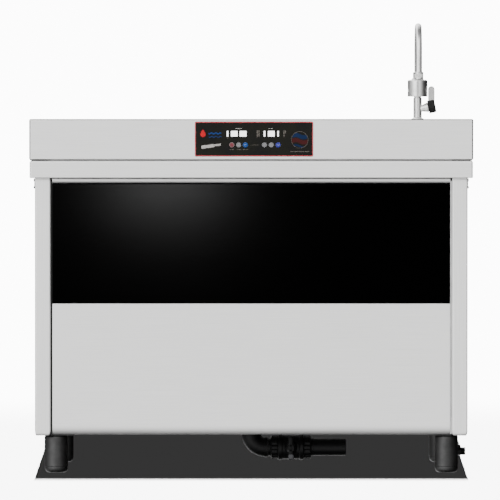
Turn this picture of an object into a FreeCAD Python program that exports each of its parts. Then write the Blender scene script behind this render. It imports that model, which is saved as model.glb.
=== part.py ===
"""Free-standing ultrasonic cleaning bench: stainless cabinet, tank, filling tap and drain valve.

Millimetres, +Z up, the front faces -Y, origin on the floor below the middle of the cabinet.
"""
import math
import os

import FreeCAD
import Part

os.makedirs("parts", exist_ok=True)
V = FreeCAD.Vector
X = V(1, 0, 0)
Y = V(0, 1, 0)
Z = V(0, 0, 1)

# overall sizes
deck_top_z = 900.0
cabinet_width = 1100.0
cabinet_depth = 672.0
leg_height = 95.0

# sheet metal
sheet = 2.0
deck_skirt = 103.0
deck_overhang = 14.0
deck_corner_r = 5.0
deck_return = 25.0
gasket_height = 2.0
gasket_inset = 3.0
apron_height = 45.0
apron_overhang = 13.0
apron_flange = 45.0
panel_gap = 4.5
panel_recess = 3.0
lower_panel_top_z = 431.0
black_panel_height = 304.0
panel_split_gap = 0.6

# frame
post_size = 40.0
tube_wall = 2.0
rail_width = 20.0
rail_height = 30.0
corner_plate = 80.0
corner_plate_thick = 6.0

# feet
leg_r = 30.0
leg_wall = 3.0
foot_tip_height = 15.0
foot_tip_r = 20.0
foot_screw_r = 8.0
foot_screw_length = 60.0
foot_inset_x = 53.0
foot_inset_y = 53.0
screw_clearance = 0.05
foot_travel = 25.0

# tank and basket
tank_width = 760.0
tank_depth = 480.0
tank_height = 400.0
tank_wall = 2.0
tank_rim = 15.0
tank_corner_r = 25.0
insulation = 20.0
heater_thick = 3.0
heater_height = 200.0
heater_width = 300.0
probe_x = -250.0
probe_rise = 60.0
probe_r = 4.0
probe_head_r = 7.0
probe_reach = 18.0
basket_clearance = 20.0
basket_height = 300.0
basket_wall = 2.0
basket_foot = 50.0
basket_slot_w = 12.0
basket_slot_h = 60.0
handle_r = 4.0

# transducers
transducer_r = 29.0
transducer_waist_r = 20.0
front_mass_h = 28.0
piezo_h = 10.0
back_mass_h = 22.0
transducer_columns = 6
transducer_rows = 4
transducer_pitch_x = 112.0
transducer_pitch_y = 100.0

# control panel
control_width = 300.0
control_height = 88.0
control_x = 7.0
control_drop = 51.0
control_thick = 3.0
cutout_margin = 9.0
window_depth = 1.5
window_height = 14.5
window_rise = 13.5
window_spans = ((-70.6, 7.0), (-59.6, 19.0), (-37.6, 19.5), (23.2, 7.0), (34.4, 19.0), (57.8, 6.5))
button_r = 6.5
button_clearance = 0.3
button_proud = 2.5
button_collar = 1.5
button_stem = 2.0
button_travel = 1.5
button_drop = 15.0
button_pitch = 17.2
button_group_half = 41.5
button_centre_x = 9.3
button_names = ("heat_stop", "heat_up", "heat_start", "timer_down", "timer_up", "timer_start")
standoff_r = 3.0
board_gap = 7.0
board_thick = 1.6

# drain line
drain_x = 0.0
drain_y = -150.0
drain_z = 58.0
pipe_r = 22.0
pipe_wall = 3.5
elbow_wall = 2.5
elbow_bend = 26.0
nut_wall = 8.0
nut_collar_wall = 3.0
nut_collar = 7.0
tail_step = 1.0
collar_relief = 1.0
valve_start_x = 69.0
valve_length = 65.0
valve_wall = 7.0
nut_length = 19.0
outlet_end_x = 243.0
ball_wall = 9.0
ball_bore = 17.0
ball_clearance = 0.3
stem_r = 6.0
stem_clearance = 0.05
stem_boss_r = 13.0
stem_boss_y = 44.0
valve_handle_length = 62.0
valve_handle_width = 14.0
valve_handle_thick = 16.0
drain_flange = 16.0
strainer_rim = 8.0

# tap
tap_margin = 55.0
tap_y = 200.0
pillar_r = 11.0
tap_flange_r = 16.0
tap_flange_h = 2.5
pillar_h = 59.0
barrel_r = 24.0
barrel_h = 44.0
collar_r = 12.0
collar_h = 20.0
spout_r = 8.5
spout_wall = 1.5
spout_clearance = 0.05
spout_height = 250.0
spout_reach = 140.0
spout_socket = 36.0
aerator_r = 11.7
aerator_h = 19.0
aerator_gap = 0.5
shank_r = 10.0
shank_length = 60.0
shank_nut_r = 17.0
shank_nut_h = 8.0
valve_tilt = 12.0
valve_rise = 25.5
cone_end = 28.0
cone_r = 12.5
spindle_r = 5.0
spindle_length = 12.0
cap_r = 17.0
cap_length = 19.0
cap_gap = 0.5
lever_width = 17.0
lever_height = 51.0
lever_offset = 36.0
lever_rise = 10.0
lever_thick = 6.0

# water supply
supply_r = 4.5
supply_clearance = 0.05
inlet_y = -200.0
inlet_z = 50.0
inlet_inset = 22.0
pipe_seat = 8.0
shank_bore_depth = 20.0
coupling_r = 10.5
coupling_body_r = 12.0
coupling_body = 21.0
coupling_tail = 12.0
thread_relief = 1.0
thread_length = 10.0
coupling_bore = 6.0
coupling_socket_r = 8.0
coupling_socket_h = 16.0

# generator
case_size = (300.0, 220.0, 140.0)
case_x = -300.0
case_y = 60.0
case_sheet = 1.5
fan_size = 80.0
fan_depth = 25.0
fan_hub_r = 18.0
fan_tip_r = 36.0
fan_bore_r = 38.0
fan_axle_r = 3.0
fan_blades = 7

# rear fittings and latches
rear_gland_x = -420.0
rear_gland_z = 200.0
gland_r = 12.0
gland_bore = 6.0
isolator_x = -340.0
isolator_z = 250.0
knob_r = 18.0
knob_h = 16.0
knob_gap = 0.3
louvre_count = 6
louvre_pitch = 22.0
louvre_z = 560.0
louvre_x = 250.0
louvre_slot = (180.0, 6.0)
latch_y = -200.0
latch_drop = 6.0
latch_length = 16.0
latch_ball_r = 3.5
latch_pin_r = 1.5

# worked out from the sizes above
half_w = cabinet_width / 2
half_d = cabinet_depth / 2
deck_x = half_w + deck_overhang
deck_y = half_d + deck_overhang
skirt_z = deck_top_z - deck_skirt
apron_top_z = skirt_z - gasket_height
apron_z = apron_top_z - apron_height
post_top_z = apron_top_z - sheet
post_in_x = half_w - post_size
post_in_y = half_d - post_size
rail_face_y = half_d - rail_width
rail_face_x = half_w - rail_width
rail_z = leg_height + corner_plate_thick
panel_face_y = half_d - panel_recess
panel_x = post_in_x - panel_gap
panel_z = leg_height + 3.0
panel_top_z = apron_z - 1.0
black_z = lower_panel_top_z + panel_split_gap
tank_floor_z = deck_top_z - sheet - tank_height
probe_z = tank_floor_z + probe_rise
tank_x = tank_width / 2
tank_y = tank_depth / 2
front_y = -deck_y
control_y = front_y - control_thick
mid_rail_z = lower_panel_top_z - rail_height / 2
control_z = deck_top_z - control_drop
window_z = control_z + window_rise
button_z = control_z - button_drop
latch_top_z = apron_z - latch_drop
pipe_bore = pipe_r - pipe_wall
elbow_r = pipe_r + elbow_wall
nut_r = pipe_r + nut_wall
nut_collar_r = pipe_r + nut_collar_wall
ball_r = ball_bore + ball_wall
valve_r = ball_r + valve_wall
drain_flange_r = pipe_r + drain_flange
tail_r = pipe_r - tail_step
strainer_r = pipe_bore + strainer_rim
tap_x = tank_x + tap_margin
barrel_z = deck_top_z + pillar_h
valve_z = deck_top_z + valve_rise
spout_top_z = deck_top_z + spout_height
aerator_z = barrel_z + barrel_h + aerator_gap
coupling_start_x = half_w - inlet_inset - coupling_tail
coupling_end_x = coupling_start_x + coupling_body + thread_relief + thread_length
foot_x = half_w - foot_inset_x
foot_y = half_d - foot_inset_y
valve_end_x = valve_start_x + valve_length
elbow_end_x = valve_start_x - nut_length - nut_collar
base_plate_z = rail_z + rail_height
supply_route = (
    (half_w - inlet_inset, inlet_y, inlet_z + pipe_seat),
    (half_w - inlet_inset, inlet_y, inlet_z + 24),
    (500, inlet_y, 96),
    (499, -198, 190),
    (495, -180, 290),
    (488, -145, 385),
    (480, -95, 470),
    (470, -35, 550),
    (460, 30, 625),
    (450, 95, 695),
    (441, 155, 765),
    (tap_x, tap_y, deck_top_z - 92),
    (tap_x, tap_y, deck_top_z - shank_length + shank_bore_depth - 5),
)


def box(x0, x1, y0, y1, z0, z1):
    return Part.makeBox(x1 - x0, y1 - y0, z1 - z0, V(x0, y0, z0))


def rod(radius, length, start, axis=Z):
    return Part.makeCylinder(radius, length, start, axis)


def ring(outer, inner, length, start, axis=Z):
    return rod(outer, length, start, axis).cut(rod(inner, length, start, axis))


def fuse(shapes):
    shapes = list(shapes)
    return shapes[0].multiFuse(shapes[1:]).removeSplitter()


def cut(shape, tools):
    for tool in tools:
        shape = shape.cut(tool)
    return shape


def round_vertical(shape, radius):
    edges = [e for e in shape.Edges if abs(e.tangentAt(e.FirstParameter).z) > 0.99]
    return shape.makeFillet(radius, edges)


def corners(x, y):
    return [(sx * x, sy * y) for sx in (-1, 1) for sy in (-1, 1)]


def save(name, *shapes):
    solids = [s for shape in shapes for s in shape.Solids]
    Part.makeCompound(solids).exportStep(f"parts/{name}.step")


def tray(x0, x1, z0, z1, depth):
    """A front panel with returns: its face is at the front and it opens to the rear."""
    face = -panel_face_y
    outer = box(x0, x1, face, face + depth, z0, z1)
    inner = box(x0 + sheet, x1 - sheet, face + sheet, face + depth, z0 + sheet, z1 - sheet)
    return outer.cut(inner)


# ---- frame ----
def make_frame():
    posts = []
    for x, y in corners(half_w - post_size / 2, half_d - post_size / 2):
        h = post_size / 2
        w = h - tube_wall
        outer = box(x - h, x + h, y - h, y + h, leg_height, post_top_z)
        posts.append(outer.cut(box(x - w, x + w, y - w, y + w, leg_height, post_top_z)))
    save("corner_posts", *posts)

    rails = []
    for z in (rail_z, post_top_z - rail_height):
        for side in (-1, 1):
            ya, yb = sorted((side * rail_face_y, side * post_in_y))
            rails.append(hollow_rail(-post_in_x, post_in_x, ya, yb, z, "x"))
            xa, xb = sorted((side * rail_face_x, side * post_in_x))
            rails.append(hollow_rail(xa, xb, -post_in_y, post_in_y, z, "y"))
    rails.append(hollow_rail(-post_in_x, post_in_x, -rail_face_y, -post_in_y, mid_rail_z, "x"))
    save("frame_rails", *rails)


def hollow_rail(x0, x1, y0, y1, z, along):
    outer = box(x0, x1, y0, y1, z, z + rail_height)
    w = tube_wall
    dx, dy = (0, w) if along == "x" else (w, 0)
    return outer.cut(box(x0 + dx, x1 - dx, y0 + dy, y1 - dy, z + w, z + rail_height - w))


def make_legs():
    legs = []
    for x, y in corners(foot_x, foot_y):
        sx = 1 if x > 0 else -1
        sy = 1 if y > 0 else -1
        xa, xb = sorted((sx * rail_face_x, sx * (rail_face_x - corner_plate)))
        ya, yb = sorted((sy * rail_face_y, sy * (rail_face_y - corner_plate)))
        plate = box(xa, xb, ya, yb, leg_height, rail_z)
        px, qx = sorted((sx * post_in_x, sx * half_w))
        py, qy = sorted((sy * post_in_y, sy * half_d))
        plate = plate.cut(box(px, qx, py, qy, leg_height, rail_z))
        sleeve = ring(leg_r, leg_r - leg_wall, leg_height - foot_tip_height, V(x, y, foot_tip_height))
        nut = ring(leg_r, foot_screw_r + screw_clearance, leg_wall * 3, V(x, y, foot_tip_height))
        bore = rod(foot_screw_r + screw_clearance, corner_plate_thick, V(x, y, leg_height))
        legs.append(fuse([plate.cut(bore), sleeve, nut]))
    save("leg_sleeves", *legs)

    names = {(-1, -1): "front_left", (1, -1): "front_right", (-1, 1): "rear_left", (1, 1): "rear_right"}
    for x, y in corners(foot_x, foot_y):
        key = (1 if x > 0 else -1, 1 if y > 0 else -1)
        save("bullet_foot_" + names[key], bullet_foot(x, y))


def bullet_foot(x, y):
    """A turned foot: flat sole, round shoulder, flush with the sleeve, and a screw above."""
    h = foot_tip_height
    a = V(0, 0, 0)
    b = V(foot_tip_r, 0, 0)
    mid = V(foot_tip_r + (leg_r - foot_tip_r) * math.sin(math.radians(45)),
            0, h * (1 - math.cos(math.radians(45))))
    c = V(leg_r, 0, h)
    d = V(foot_screw_r, 0, h)
    e = V(foot_screw_r, 0, h + foot_screw_length)
    f = V(0, 0, h + foot_screw_length)
    edges = [Part.makeLine(a, b), Part.Arc(b, mid, c).toShape(), Part.makeLine(c, d)]
    edges += [Part.makeLine(d, e), Part.makeLine(e, f), Part.makeLine(f, a)]
    foot = Part.Face(Part.Wire(edges)).revolve(V(0, 0, 0), Z, 360)
    foot.translate(V(x, y, 0))
    return foot


def make_base_plate():
    plate = box(-rail_face_x, rail_face_x, -rail_face_y, rail_face_y, base_plate_z, base_plate_z + sheet)
    tools = [rod(elbow_r + 4, sheet, V(drain_x, drain_y, base_plate_z))]
    tools.append(rod(supply_r + 3, sheet, V(500, inlet_y, base_plate_z)))
    for x, y in corners(half_w, half_d):
        tools.append(box(min(x, x * post_in_x / half_w), max(x, x * post_in_x / half_w),
                         min(y, y * post_in_y / half_d), max(y, y * post_in_y / half_d),
                         base_plate_z, base_plate_z + sheet))
    save("base_plate", cut(plate, tools))


# ---- panels ----
def make_front_panels():
    depth = panel_face_y - rail_face_y
    save("lower_front_panel", tray(-panel_x, panel_x, panel_z, lower_panel_top_z, depth))
    top = black_z + black_panel_height
    save("black_front_panel", tray(-panel_x, panel_x, black_z, top, depth))
    strip = tray(-panel_x, panel_x, top + panel_split_gap, panel_top_z, depth)
    save("front_trim_strip", strip)


def make_side_panels():
    panels = []
    for side in (-1, 1):
        face = side * (half_w - 1)
        inner = side * rail_face_x
        y = post_in_y - 1
        xa, xb = sorted((face, inner))
        outer = box(xa, xb, -y, y, panel_z, panel_top_z)
        xa, xb = sorted((face - side * sheet, inner))
        shell = outer.cut(box(xa, xb, -y + sheet, y - sheet, panel_z + sheet, panel_top_z - sheet))
        panels.append(fuse([shell] + latch_ears(side, face)))
    save("side_panels", *panels)


def latch_ears(side, face):
    ears = []
    for offset in (-5.0, 3.0):
        xa, xb = sorted((face, face + side * 8.0))
        ear = box(xa, xb, latch_y + offset, latch_y + offset + 2.0, latch_top_z - 4, latch_top_z + 4)
        pin = rod(latch_pin_r + screw_clearance, 2.0, V(face + side * 5.0, latch_y + offset, latch_top_z), Y)
        ears.append(ear.cut(pin))
    return ears


def make_latches():
    for side, name in ((-1, "left"), (1, "right")):
        x = side * (half_w - 1) + side * 5.0
        pin = rod(latch_pin_r, 10.0, V(x, latch_y - 5.0, latch_top_z), Y)
        arm = box(x - 1.5, x + 1.5, latch_y - 2.7, latch_y + 2.7, latch_top_z - latch_length, latch_top_z)
        ball = Part.makeSphere(latch_ball_r, V(x, latch_y, latch_top_z - latch_length - latch_ball_r + 0.8))
        save(f"latch_lever_{name}", fuse([pin, arm, ball]))


def make_rear_panel():
    face = panel_face_y
    inner = rail_face_y
    outer = box(-panel_x, panel_x, inner, face, panel_z, panel_top_z)
    shell = outer.cut(box(-panel_x + sheet, panel_x - sheet, inner, face - sheet,
                          panel_z + sheet, panel_top_z - sheet))
    tools = [rod(gland_r - 3, sheet, V(rear_gland_x, face - sheet, rear_gland_z), Y)]
    tools.append(rod(stem_r + 2, sheet, V(isolator_x, face - sheet, isolator_z), Y))
    for cx in (-louvre_x, louvre_x):
        for row in range(louvre_count):
            z = louvre_z + row * louvre_pitch
            tools.append(box(cx - louvre_slot[0] / 2, cx + louvre_slot[0] / 2,
                             face - sheet, face, z, z + louvre_slot[1]))
    save("rear_panel", cut(shell, tools))


def make_rear_fittings():
    face = panel_face_y
    gland = ring(gland_r, gland_bore, 14.0, V(rear_gland_x, face, rear_gland_z), Y)
    tail = ring(gland_r - 3, gland_bore, sheet, V(rear_gland_x, face - sheet, rear_gland_z), Y)
    nut = ring(gland_r + 2, gland_bore, 6.0, V(rear_gland_x, face - sheet - 6.0, rear_gland_z), Y)
    save("cable_gland", fuse([gland, tail, nut]))

    plate = box(isolator_x - 30, isolator_x + 30, face, face + 4, isolator_z - 30, isolator_z + 30)
    neck = rod(stem_r + 2, sheet, V(isolator_x, face - sheet, isolator_z), Y)
    back = box(isolator_x - 24, isolator_x + 24, face - sheet - 40, face - sheet, isolator_z - 24, isolator_z + 24)
    bore = rod(stem_r + stem_clearance, sheet + 12, V(isolator_x, face - sheet - 8, isolator_z), Y)
    save("isolator_body", fuse([plate, neck, back]).cut(bore))

    knob_y = face + 4 + knob_gap
    disc = rod(knob_r, 8.0, V(isolator_x, knob_y, isolator_z), Y)
    grip = box(isolator_x - 5, isolator_x + 5, knob_y + 8, knob_y + knob_h, isolator_z - knob_r + 1,
               isolator_z + knob_r - 1)
    stem = rod(stem_r, sheet + 4 + knob_gap + 6, V(isolator_x, face - sheet - 6, isolator_z), Y)
    save("isolator_knob", fuse([disc, grip, stem]))


def make_screws():
    screws = []
    for z in (panel_z + 9, lower_panel_top_z - 9):
        for x in (-panel_x + 20, panel_x - 20):
            screws.append(rod(4.0, 2.0, V(x, panel_face_y, z), Y))
    for x in (-panel_x + 20, panel_x - 20):
        screws.append(rod(4.0, 2.0, V(x, panel_face_y, panel_top_z - 9), Y))
    save("rear_panel_screws", *screws)


# ---- deck ----
def make_deck():
    outer = round_vertical(box(-deck_x, deck_x, -deck_y, deck_y, skirt_z, deck_top_z), deck_corner_r)
    rim = [e for e in outer.Edges if abs(e.CenterOfMass.z - deck_top_z) < 0.01]
    outer = outer.makeFillet(deck_corner_r - 1, rim)
    t = sheet
    r = deck_return
    inner = round_vertical(box(-deck_x + t, deck_x - t, -deck_y + t, deck_y - t, skirt_z + t, deck_top_z - t),
                           deck_corner_r - t)
    mouth = box(-deck_x + r, deck_x - r, -deck_y + r, deck_y - r, skirt_z, skirt_z + t)
    opening = round_vertical(box(-tank_x, tank_x, -tank_y, tank_y, deck_top_z - t, deck_top_z), tank_corner_r)
    w = control_width / 2 - cutout_margin
    h = control_height / 2 - cutout_margin
    panel_hole = box(control_x - w, control_x + w, -deck_y, -deck_y + t, control_z - h, control_z + h)
    tap_hole = rod(shank_r + 0.5, t, V(tap_x, tap_y, deck_top_z - t))
    save("deck", cut(outer, [inner, mouth, opening, panel_hole, tap_hole]))

    g = gasket_inset
    outer = box(-deck_x + g, deck_x - g, -deck_y + g, deck_y - g, apron_top_z, skirt_z)
    g = g + rail_width
    save("deck_gasket", outer.cut(box(-deck_x + g, deck_x - g, -deck_y + g, deck_y - g, apron_top_z, skirt_z)))


def make_apron():
    ax = half_w + apron_overhang
    ay = half_d + apron_overhang
    outer = round_vertical(box(-ax, ax, -ay, ay, apron_z, apron_top_z), deck_corner_r)
    t = sheet
    inner = round_vertical(box(-ax + t, ax - t, -ay + t, ay - t, apron_z + t, apron_top_z - t), deck_corner_r - t)
    lower = box(-half_w, half_w, -half_d, half_d, apron_z, apron_z + t)
    fx = ax - apron_flange
    fy = ay - apron_flange
    upper = box(-fx, fx, -fy, fy, apron_top_z - t, apron_top_z)
    save("apron_ring", cut(outer, [inner, lower, upper]))


# ---- tank ----
def make_tank():
    w = tank_wall
    top = deck_top_z - sheet
    body = round_vertical(box(-tank_x - w, tank_x + w, -tank_y - w, tank_y + w, tank_floor_z - w, top),
                          tank_corner_r + w)
    rim = round_vertical(box(-tank_x - tank_rim, tank_x + tank_rim, -tank_y - tank_rim, tank_y + tank_rim,
                             top - sheet, top), tank_corner_r + tank_rim)
    inside = round_vertical(box(-tank_x, tank_x, -tank_y, tank_y, tank_floor_z, top), tank_corner_r)
    drain_hole = rod(pipe_bore, w, V(drain_x, drain_y, tank_floor_z - w))
    probe_hole = rod(probe_r, w, V(probe_x, tank_y, probe_z), Y)
    save("tank", cut(body.fuse(rim), [inside, drain_hole, probe_hole]))

    gap = tank_wall + heater_thick
    z0 = tank_floor_z
    z1 = top - sheet - 10
    outer = box(-tank_x - gap - insulation, tank_x + gap + insulation,
                -tank_y - gap - insulation, tank_y + gap + insulation, z0, z1)
    jacket = outer.cut(box(-tank_x - gap, tank_x + gap, -tank_y - gap, tank_y + gap, z0, z1))
    jacket = jacket.cut(rod(probe_head_r + 2, insulation, V(probe_x, tank_y + gap, probe_z), Y))
    save("tank_insulation", jacket)

    pads = []
    for side in (-1, 1):
        xa, xb = sorted((side * (tank_x + tank_wall), side * (tank_x + gap)))
        pads.append(box(xa, xb, -heater_width / 2, heater_width / 2, tank_floor_z + 40,
                        tank_floor_z + 40 + heater_height))
    save("heater_pads", *pads)

    wall_y = tank_y + tank_wall
    head = rod(probe_head_r, insulation, V(probe_x, wall_y, probe_z), Y)
    tip = rod(probe_r - 0.1, probe_reach, V(probe_x, wall_y - probe_reach, probe_z), Y)
    save("temperature_probe", head.fuse(tip))


def make_transducers():
    stacks = []
    top = tank_floor_z - tank_wall
    for i in range(transducer_columns):
        for j in range(transducer_rows):
            x = (i - (transducer_columns - 1) / 2) * transducer_pitch_x
            y = (j - (transducer_rows - 1) / 2) * transducer_pitch_y
            if math.hypot(x - drain_x, y - drain_y) < drain_flange_r + transducer_r:
                continue
            z = top - front_mass_h
            stacks.append(Part.makeCone(transducer_waist_r, transducer_r, front_mass_h, V(x, y, z)))
            stacks.append(rod(transducer_waist_r - 1, piezo_h, V(x, y, z - piezo_h)))
            stacks.append(rod(transducer_waist_r, back_mass_h, V(x, y, z - piezo_h - back_mass_h)))
    save("transducers", *stacks)


def make_basket():
    c = basket_clearance
    w = basket_wall
    x = tank_x - c
    y = tank_y - c
    z = tank_floor_z + basket_foot
    outer = round_vertical(box(-x, x, -y, y, z, z + basket_height), tank_corner_r)
    inner = round_vertical(box(-x + w, x - w, -y + w, y - w, z + w, z + basket_height), tank_corner_r - w)
    shell = outer.cut(inner)
    slots = []
    for row in range(3):
        z0 = z + 40 + row * 85
        for i in range(-8, 9):
            slots.append(box(i * 38 - basket_slot_w / 2, i * 38 + basket_slot_w / 2, -y, y, z0, z0 + basket_slot_h))
        for i in range(-5, 6):
            slots.append(box(-x, x, i * 34 - basket_slot_w / 2, i * 34 + basket_slot_w / 2, z0, z0 + basket_slot_h))
    for i in range(-8, 9):
        for j in range(-3, 4):
            slots.append(box(i * 38 - basket_slot_w / 2, i * 38 + basket_slot_w / 2,
                             j * 55 - 20, j * 55 + 20, z, z + w))
    shell = shell.cut(Part.makeCompound(slots))
    extras = [basket_handle(side, x, z + basket_height) for side in (-1, 1)]
    for fx, fy in corners(x - 40, y - 40):
        extras.append(rod(8.0, basket_foot, V(fx, fy, z - basket_foot)))
    save("basket", fuse([shell] + extras))


def basket_handle(side, x, z):
    """A bent rod handle standing on the basket's end wall, below the deck."""
    cx = side * (x - handle_r)
    legs = [rod(handle_r, 30.0, V(cx, sy * 60.0, z - 10), Z) for sy in (-1, 1)]
    grip = rod(handle_r, 120.0, V(cx, -60.0, z + 20), Y)
    knuckles = [Part.makeSphere(handle_r, V(cx, sy * 60.0, z + 20)) for sy in (-1, 1)]
    return fuse(legs + [grip] + knuckles)


# ---- generator ----
def make_generator():
    sx, sy, sz = case_size
    x0 = case_x - sx / 2
    y0 = case_y - sy / 2
    z0 = base_plate_z + sheet
    t = case_sheet
    case = box(x0, x0 + sx, y0, y0 + sy, z0, z0 + sz).cut(
        box(x0 + t, x0 + sx - t, y0 + t, y0 + sy - t, z0 + t, z0 + sz))
    fan_c = V(case_x, y0 + sy, z0 + sz / 2)
    case = case.cut(rod(fan_bore_r, t, fan_c - V(0, t, 0), Y))
    save("generator_case", case)
    lid = box(x0, x0 + sx, y0, y0 + sy, z0 + sz, z0 + sz + t)
    save("generator_cover", lid)

    board = box(x0 + 20, x0 + sx - 20, y0 + 20, y0 + sy - 60, z0 + 10, z0 + 12)
    posts = [rod(4.0, 10.0 - t, V(x, y, z0 + t)) for x in (x0 + 30, x0 + sx - 30) for y in (y0 + 30, y0 + sy - 70)]
    sink = box(x0 + 40, x0 + 150, y0 + 40, y0 + 120, z0 + 12, z0 + 18)
    fins = [box(x0 + 40 + i * 10, x0 + 43 + i * 10, y0 + 40, y0 + 120, z0 + 18, z0 + 60) for i in range(11)]
    coil = ring(24.0, 10.0, 22.0, V(x0 + 210, y0 + 70, z0 + 12))
    caps = [rod(11.0, 35.0, V(x0 + 190 + i * 28, y0 + 125, z0 + 12)) for i in range(3)]
    save("generator_board", fuse([board] + posts), fuse([sink] + fins), coil, *caps)

    h = fan_size / 2
    cy = y0 + sy
    frame = box(case_x - h, case_x + h, cy, cy + fan_depth, fan_c.z - h, fan_c.z + h)
    frame = frame.cut(rod(fan_bore_r, fan_depth, V(case_x, cy, fan_c.z), Y))
    spider = [box(case_x - 3, case_x + 3, cy, cy + 3, fan_c.z - fan_bore_r - 1, fan_c.z + fan_bore_r + 1)]
    spider.append(box(case_x - fan_bore_r - 1, case_x + fan_bore_r + 1, cy, cy + 3, fan_c.z - 3, fan_c.z + 3))
    spider.append(rod(fan_hub_r, 3.0, V(case_x, cy, fan_c.z), Y))
    axle = rod(fan_axle_r, fan_depth - 6, V(case_x, cy + 3, fan_c.z), Y)
    save("fan_frame", fuse([frame] + spider + [axle]))

    hub = ring(fan_hub_r, fan_axle_r + stem_clearance, fan_depth - 6, V(case_x, cy + 3.3, fan_c.z), Y)
    blades = []
    for i in range(fan_blades):
        blade = box(fan_hub_r - 2, fan_tip_r, -1.0, 1.0, -8.0, 8.0)
        blade.rotate(V(0, 0, 0), X, 40)
        blade.rotate(V(0, 0, 0), Y, 360 / fan_blades * i)
        blade.translate(V(case_x, cy + 3.3 + (fan_depth - 6) / 2, fan_c.z))
        blades.append(blade)
    save("fan_rotor", fuse([hub] + blades))


# ---- controls ----
def button_places():
    for group in (-1, 1):
        for i in (-1, 0, 1):
            yield button_centre_x + group * button_group_half + i * button_pitch


def make_controls():
    w = control_width / 2
    h = control_height / 2
    plate = box(control_x - w, control_x + w, control_y, front_y, control_z - h, control_z + h)
    windows = []
    for start, width in window_spans:
        x0 = control_x + start
        windows.append(box(x0, x0 + width, control_y, control_y + window_depth,
                           window_z - window_height / 2, window_z + window_height / 2))
    tools = list(windows)
    for x in button_places():
        tools.append(rod(button_r + button_clearance, control_thick, V(x, control_y, button_z), Y))
    standoffs = []
    for x, z in corners(w - 40, h - 18):
        standoffs.append(rod(standoff_r, board_gap, V(control_x + x, front_y, control_z + z), Y))
    save("control_panel", fuse([cut(plate, tools)] + standoffs))
    save("display_windows", *windows)

    by = front_y + board_gap
    board = box(control_x - w + 25, control_x + w - 25, by, by + board_thick, control_z - h + 12, control_z + h - 12)
    switches = []
    back = front_y + button_collar + button_stem
    for x in button_places():
        switches.append(rod(2.5, by - back - button_travel, V(x, back + button_travel, button_z), Y))
    save("control_board", fuse([board] + switches))

    for name, x in zip(button_names, button_places()):
        cap = rod(button_r, control_thick + button_proud, V(x, control_y - button_proud, button_z), Y)
        collar = rod(button_r + 1.2, button_collar, V(x, front_y, button_z), Y)
        stem = rod(2.0, button_stem, V(x, front_y + button_collar, button_z), Y)
        save("button_" + name, fuse([cap, collar, stem]))


# ---- drain ----
def make_drain():
    z_tank = tank_floor_z - tank_wall
    socket_h = 40.0
    flange = ring(drain_flange_r, pipe_bore, 4.0, V(drain_x, drain_y, z_tank - 4.0))
    socket = ring(pipe_r + 4, pipe_r, socket_h, V(drain_x, drain_y, z_tank - 4.0 - socket_h))
    save("drain_fitting", flange.fuse(socket))

    disc = rod(strainer_r, 2.0, V(drain_x, drain_y, tank_floor_z))
    holes = []
    for count, radius in ((1, 0.0), (6, 7.0), (12, 14.0)):
        for i in range(count):
            a = 2 * math.pi * i / count
            holes.append(rod(1.8, 2.0, V(drain_x + radius * math.cos(a), drain_y + radius * math.sin(a), tank_floor_z)))
    save("drain_strainer", cut(disc, holes))

    low = drain_z + elbow_bend + 4.0
    drop = ring(pipe_r, pipe_bore, z_tank - 4.0 - low, V(drain_x, drain_y, low))
    save("drain_drop_pipe", drop)

    save("drain_elbow", drain_elbow(low))

    nuts = []
    for start, way in ((valve_start_x - nut_length, 1), (valve_end_x + nut_length, -1)):
        axis = V(way, 0, 0)
        main = ring(nut_r, tail_r, nut_length, V(start, drain_y, drain_z), axis)
        collar = ring(nut_collar_r, tail_r, nut_collar, V(start, drain_y, drain_z), axis * -1)
        nuts.append(main.fuse(collar))
    pipe_start = valve_end_x + nut_length + nut_collar + collar_relief
    tail = rod(tail_r, pipe_start - valve_end_x, V(valve_end_x, drain_y, drain_z), X)
    outlet = tail.fuse(rod(pipe_r, outlet_end_x - pipe_start, V(pipe_start, drain_y, drain_z), X))
    outlet = outlet.cut(rod(pipe_bore, outlet_end_x - valve_end_x, V(valve_end_x, drain_y, drain_z), X))
    save("drain_union_nuts", *nuts)
    save("drain_outlet_pipe", outlet)

    mid = V(valve_start_x + valve_length / 2, drain_y, drain_z)
    body = rod(valve_r, valve_length, V(valve_start_x, drain_y, drain_z), X)
    boss = rod(stem_boss_r, stem_boss_y, mid, -Y)
    body = body.fuse(boss)
    cavity = Part.makeSphere(ball_r + ball_clearance, mid)
    through = rod(ball_bore, valve_length, V(valve_start_x, drain_y, drain_z), X)
    stem_hole = rod(stem_r + stem_clearance, stem_boss_y, mid, -Y)
    save("drain_valve_body", cut(body, [cavity, through, stem_hole]))

    handle_y = stem_boss_y + 0.5
    ball = Part.makeSphere(ball_r, mid).cut(rod(ball_bore, 4 * ball_r, mid - Z * 2 * ball_r, Z))
    stem = rod(stem_r, handle_y - ball_bore - 2, mid - Y * (ball_bore + 2), -Y)
    save("drain_valve_ball", ball.fuse(stem))
    top = mid - Y * handle_y
    hub = rod(stem_boss_r - 1, valve_handle_thick, top, -Y)
    bar = box(top.x - valve_handle_width / 2, top.x + valve_handle_width / 2,
              top.y - valve_handle_thick, top.y - 4,
              top.z - valve_handle_length / 2, top.z + valve_handle_length / 2)
    save("drain_valve_handle", hub.fuse(bar))


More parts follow.
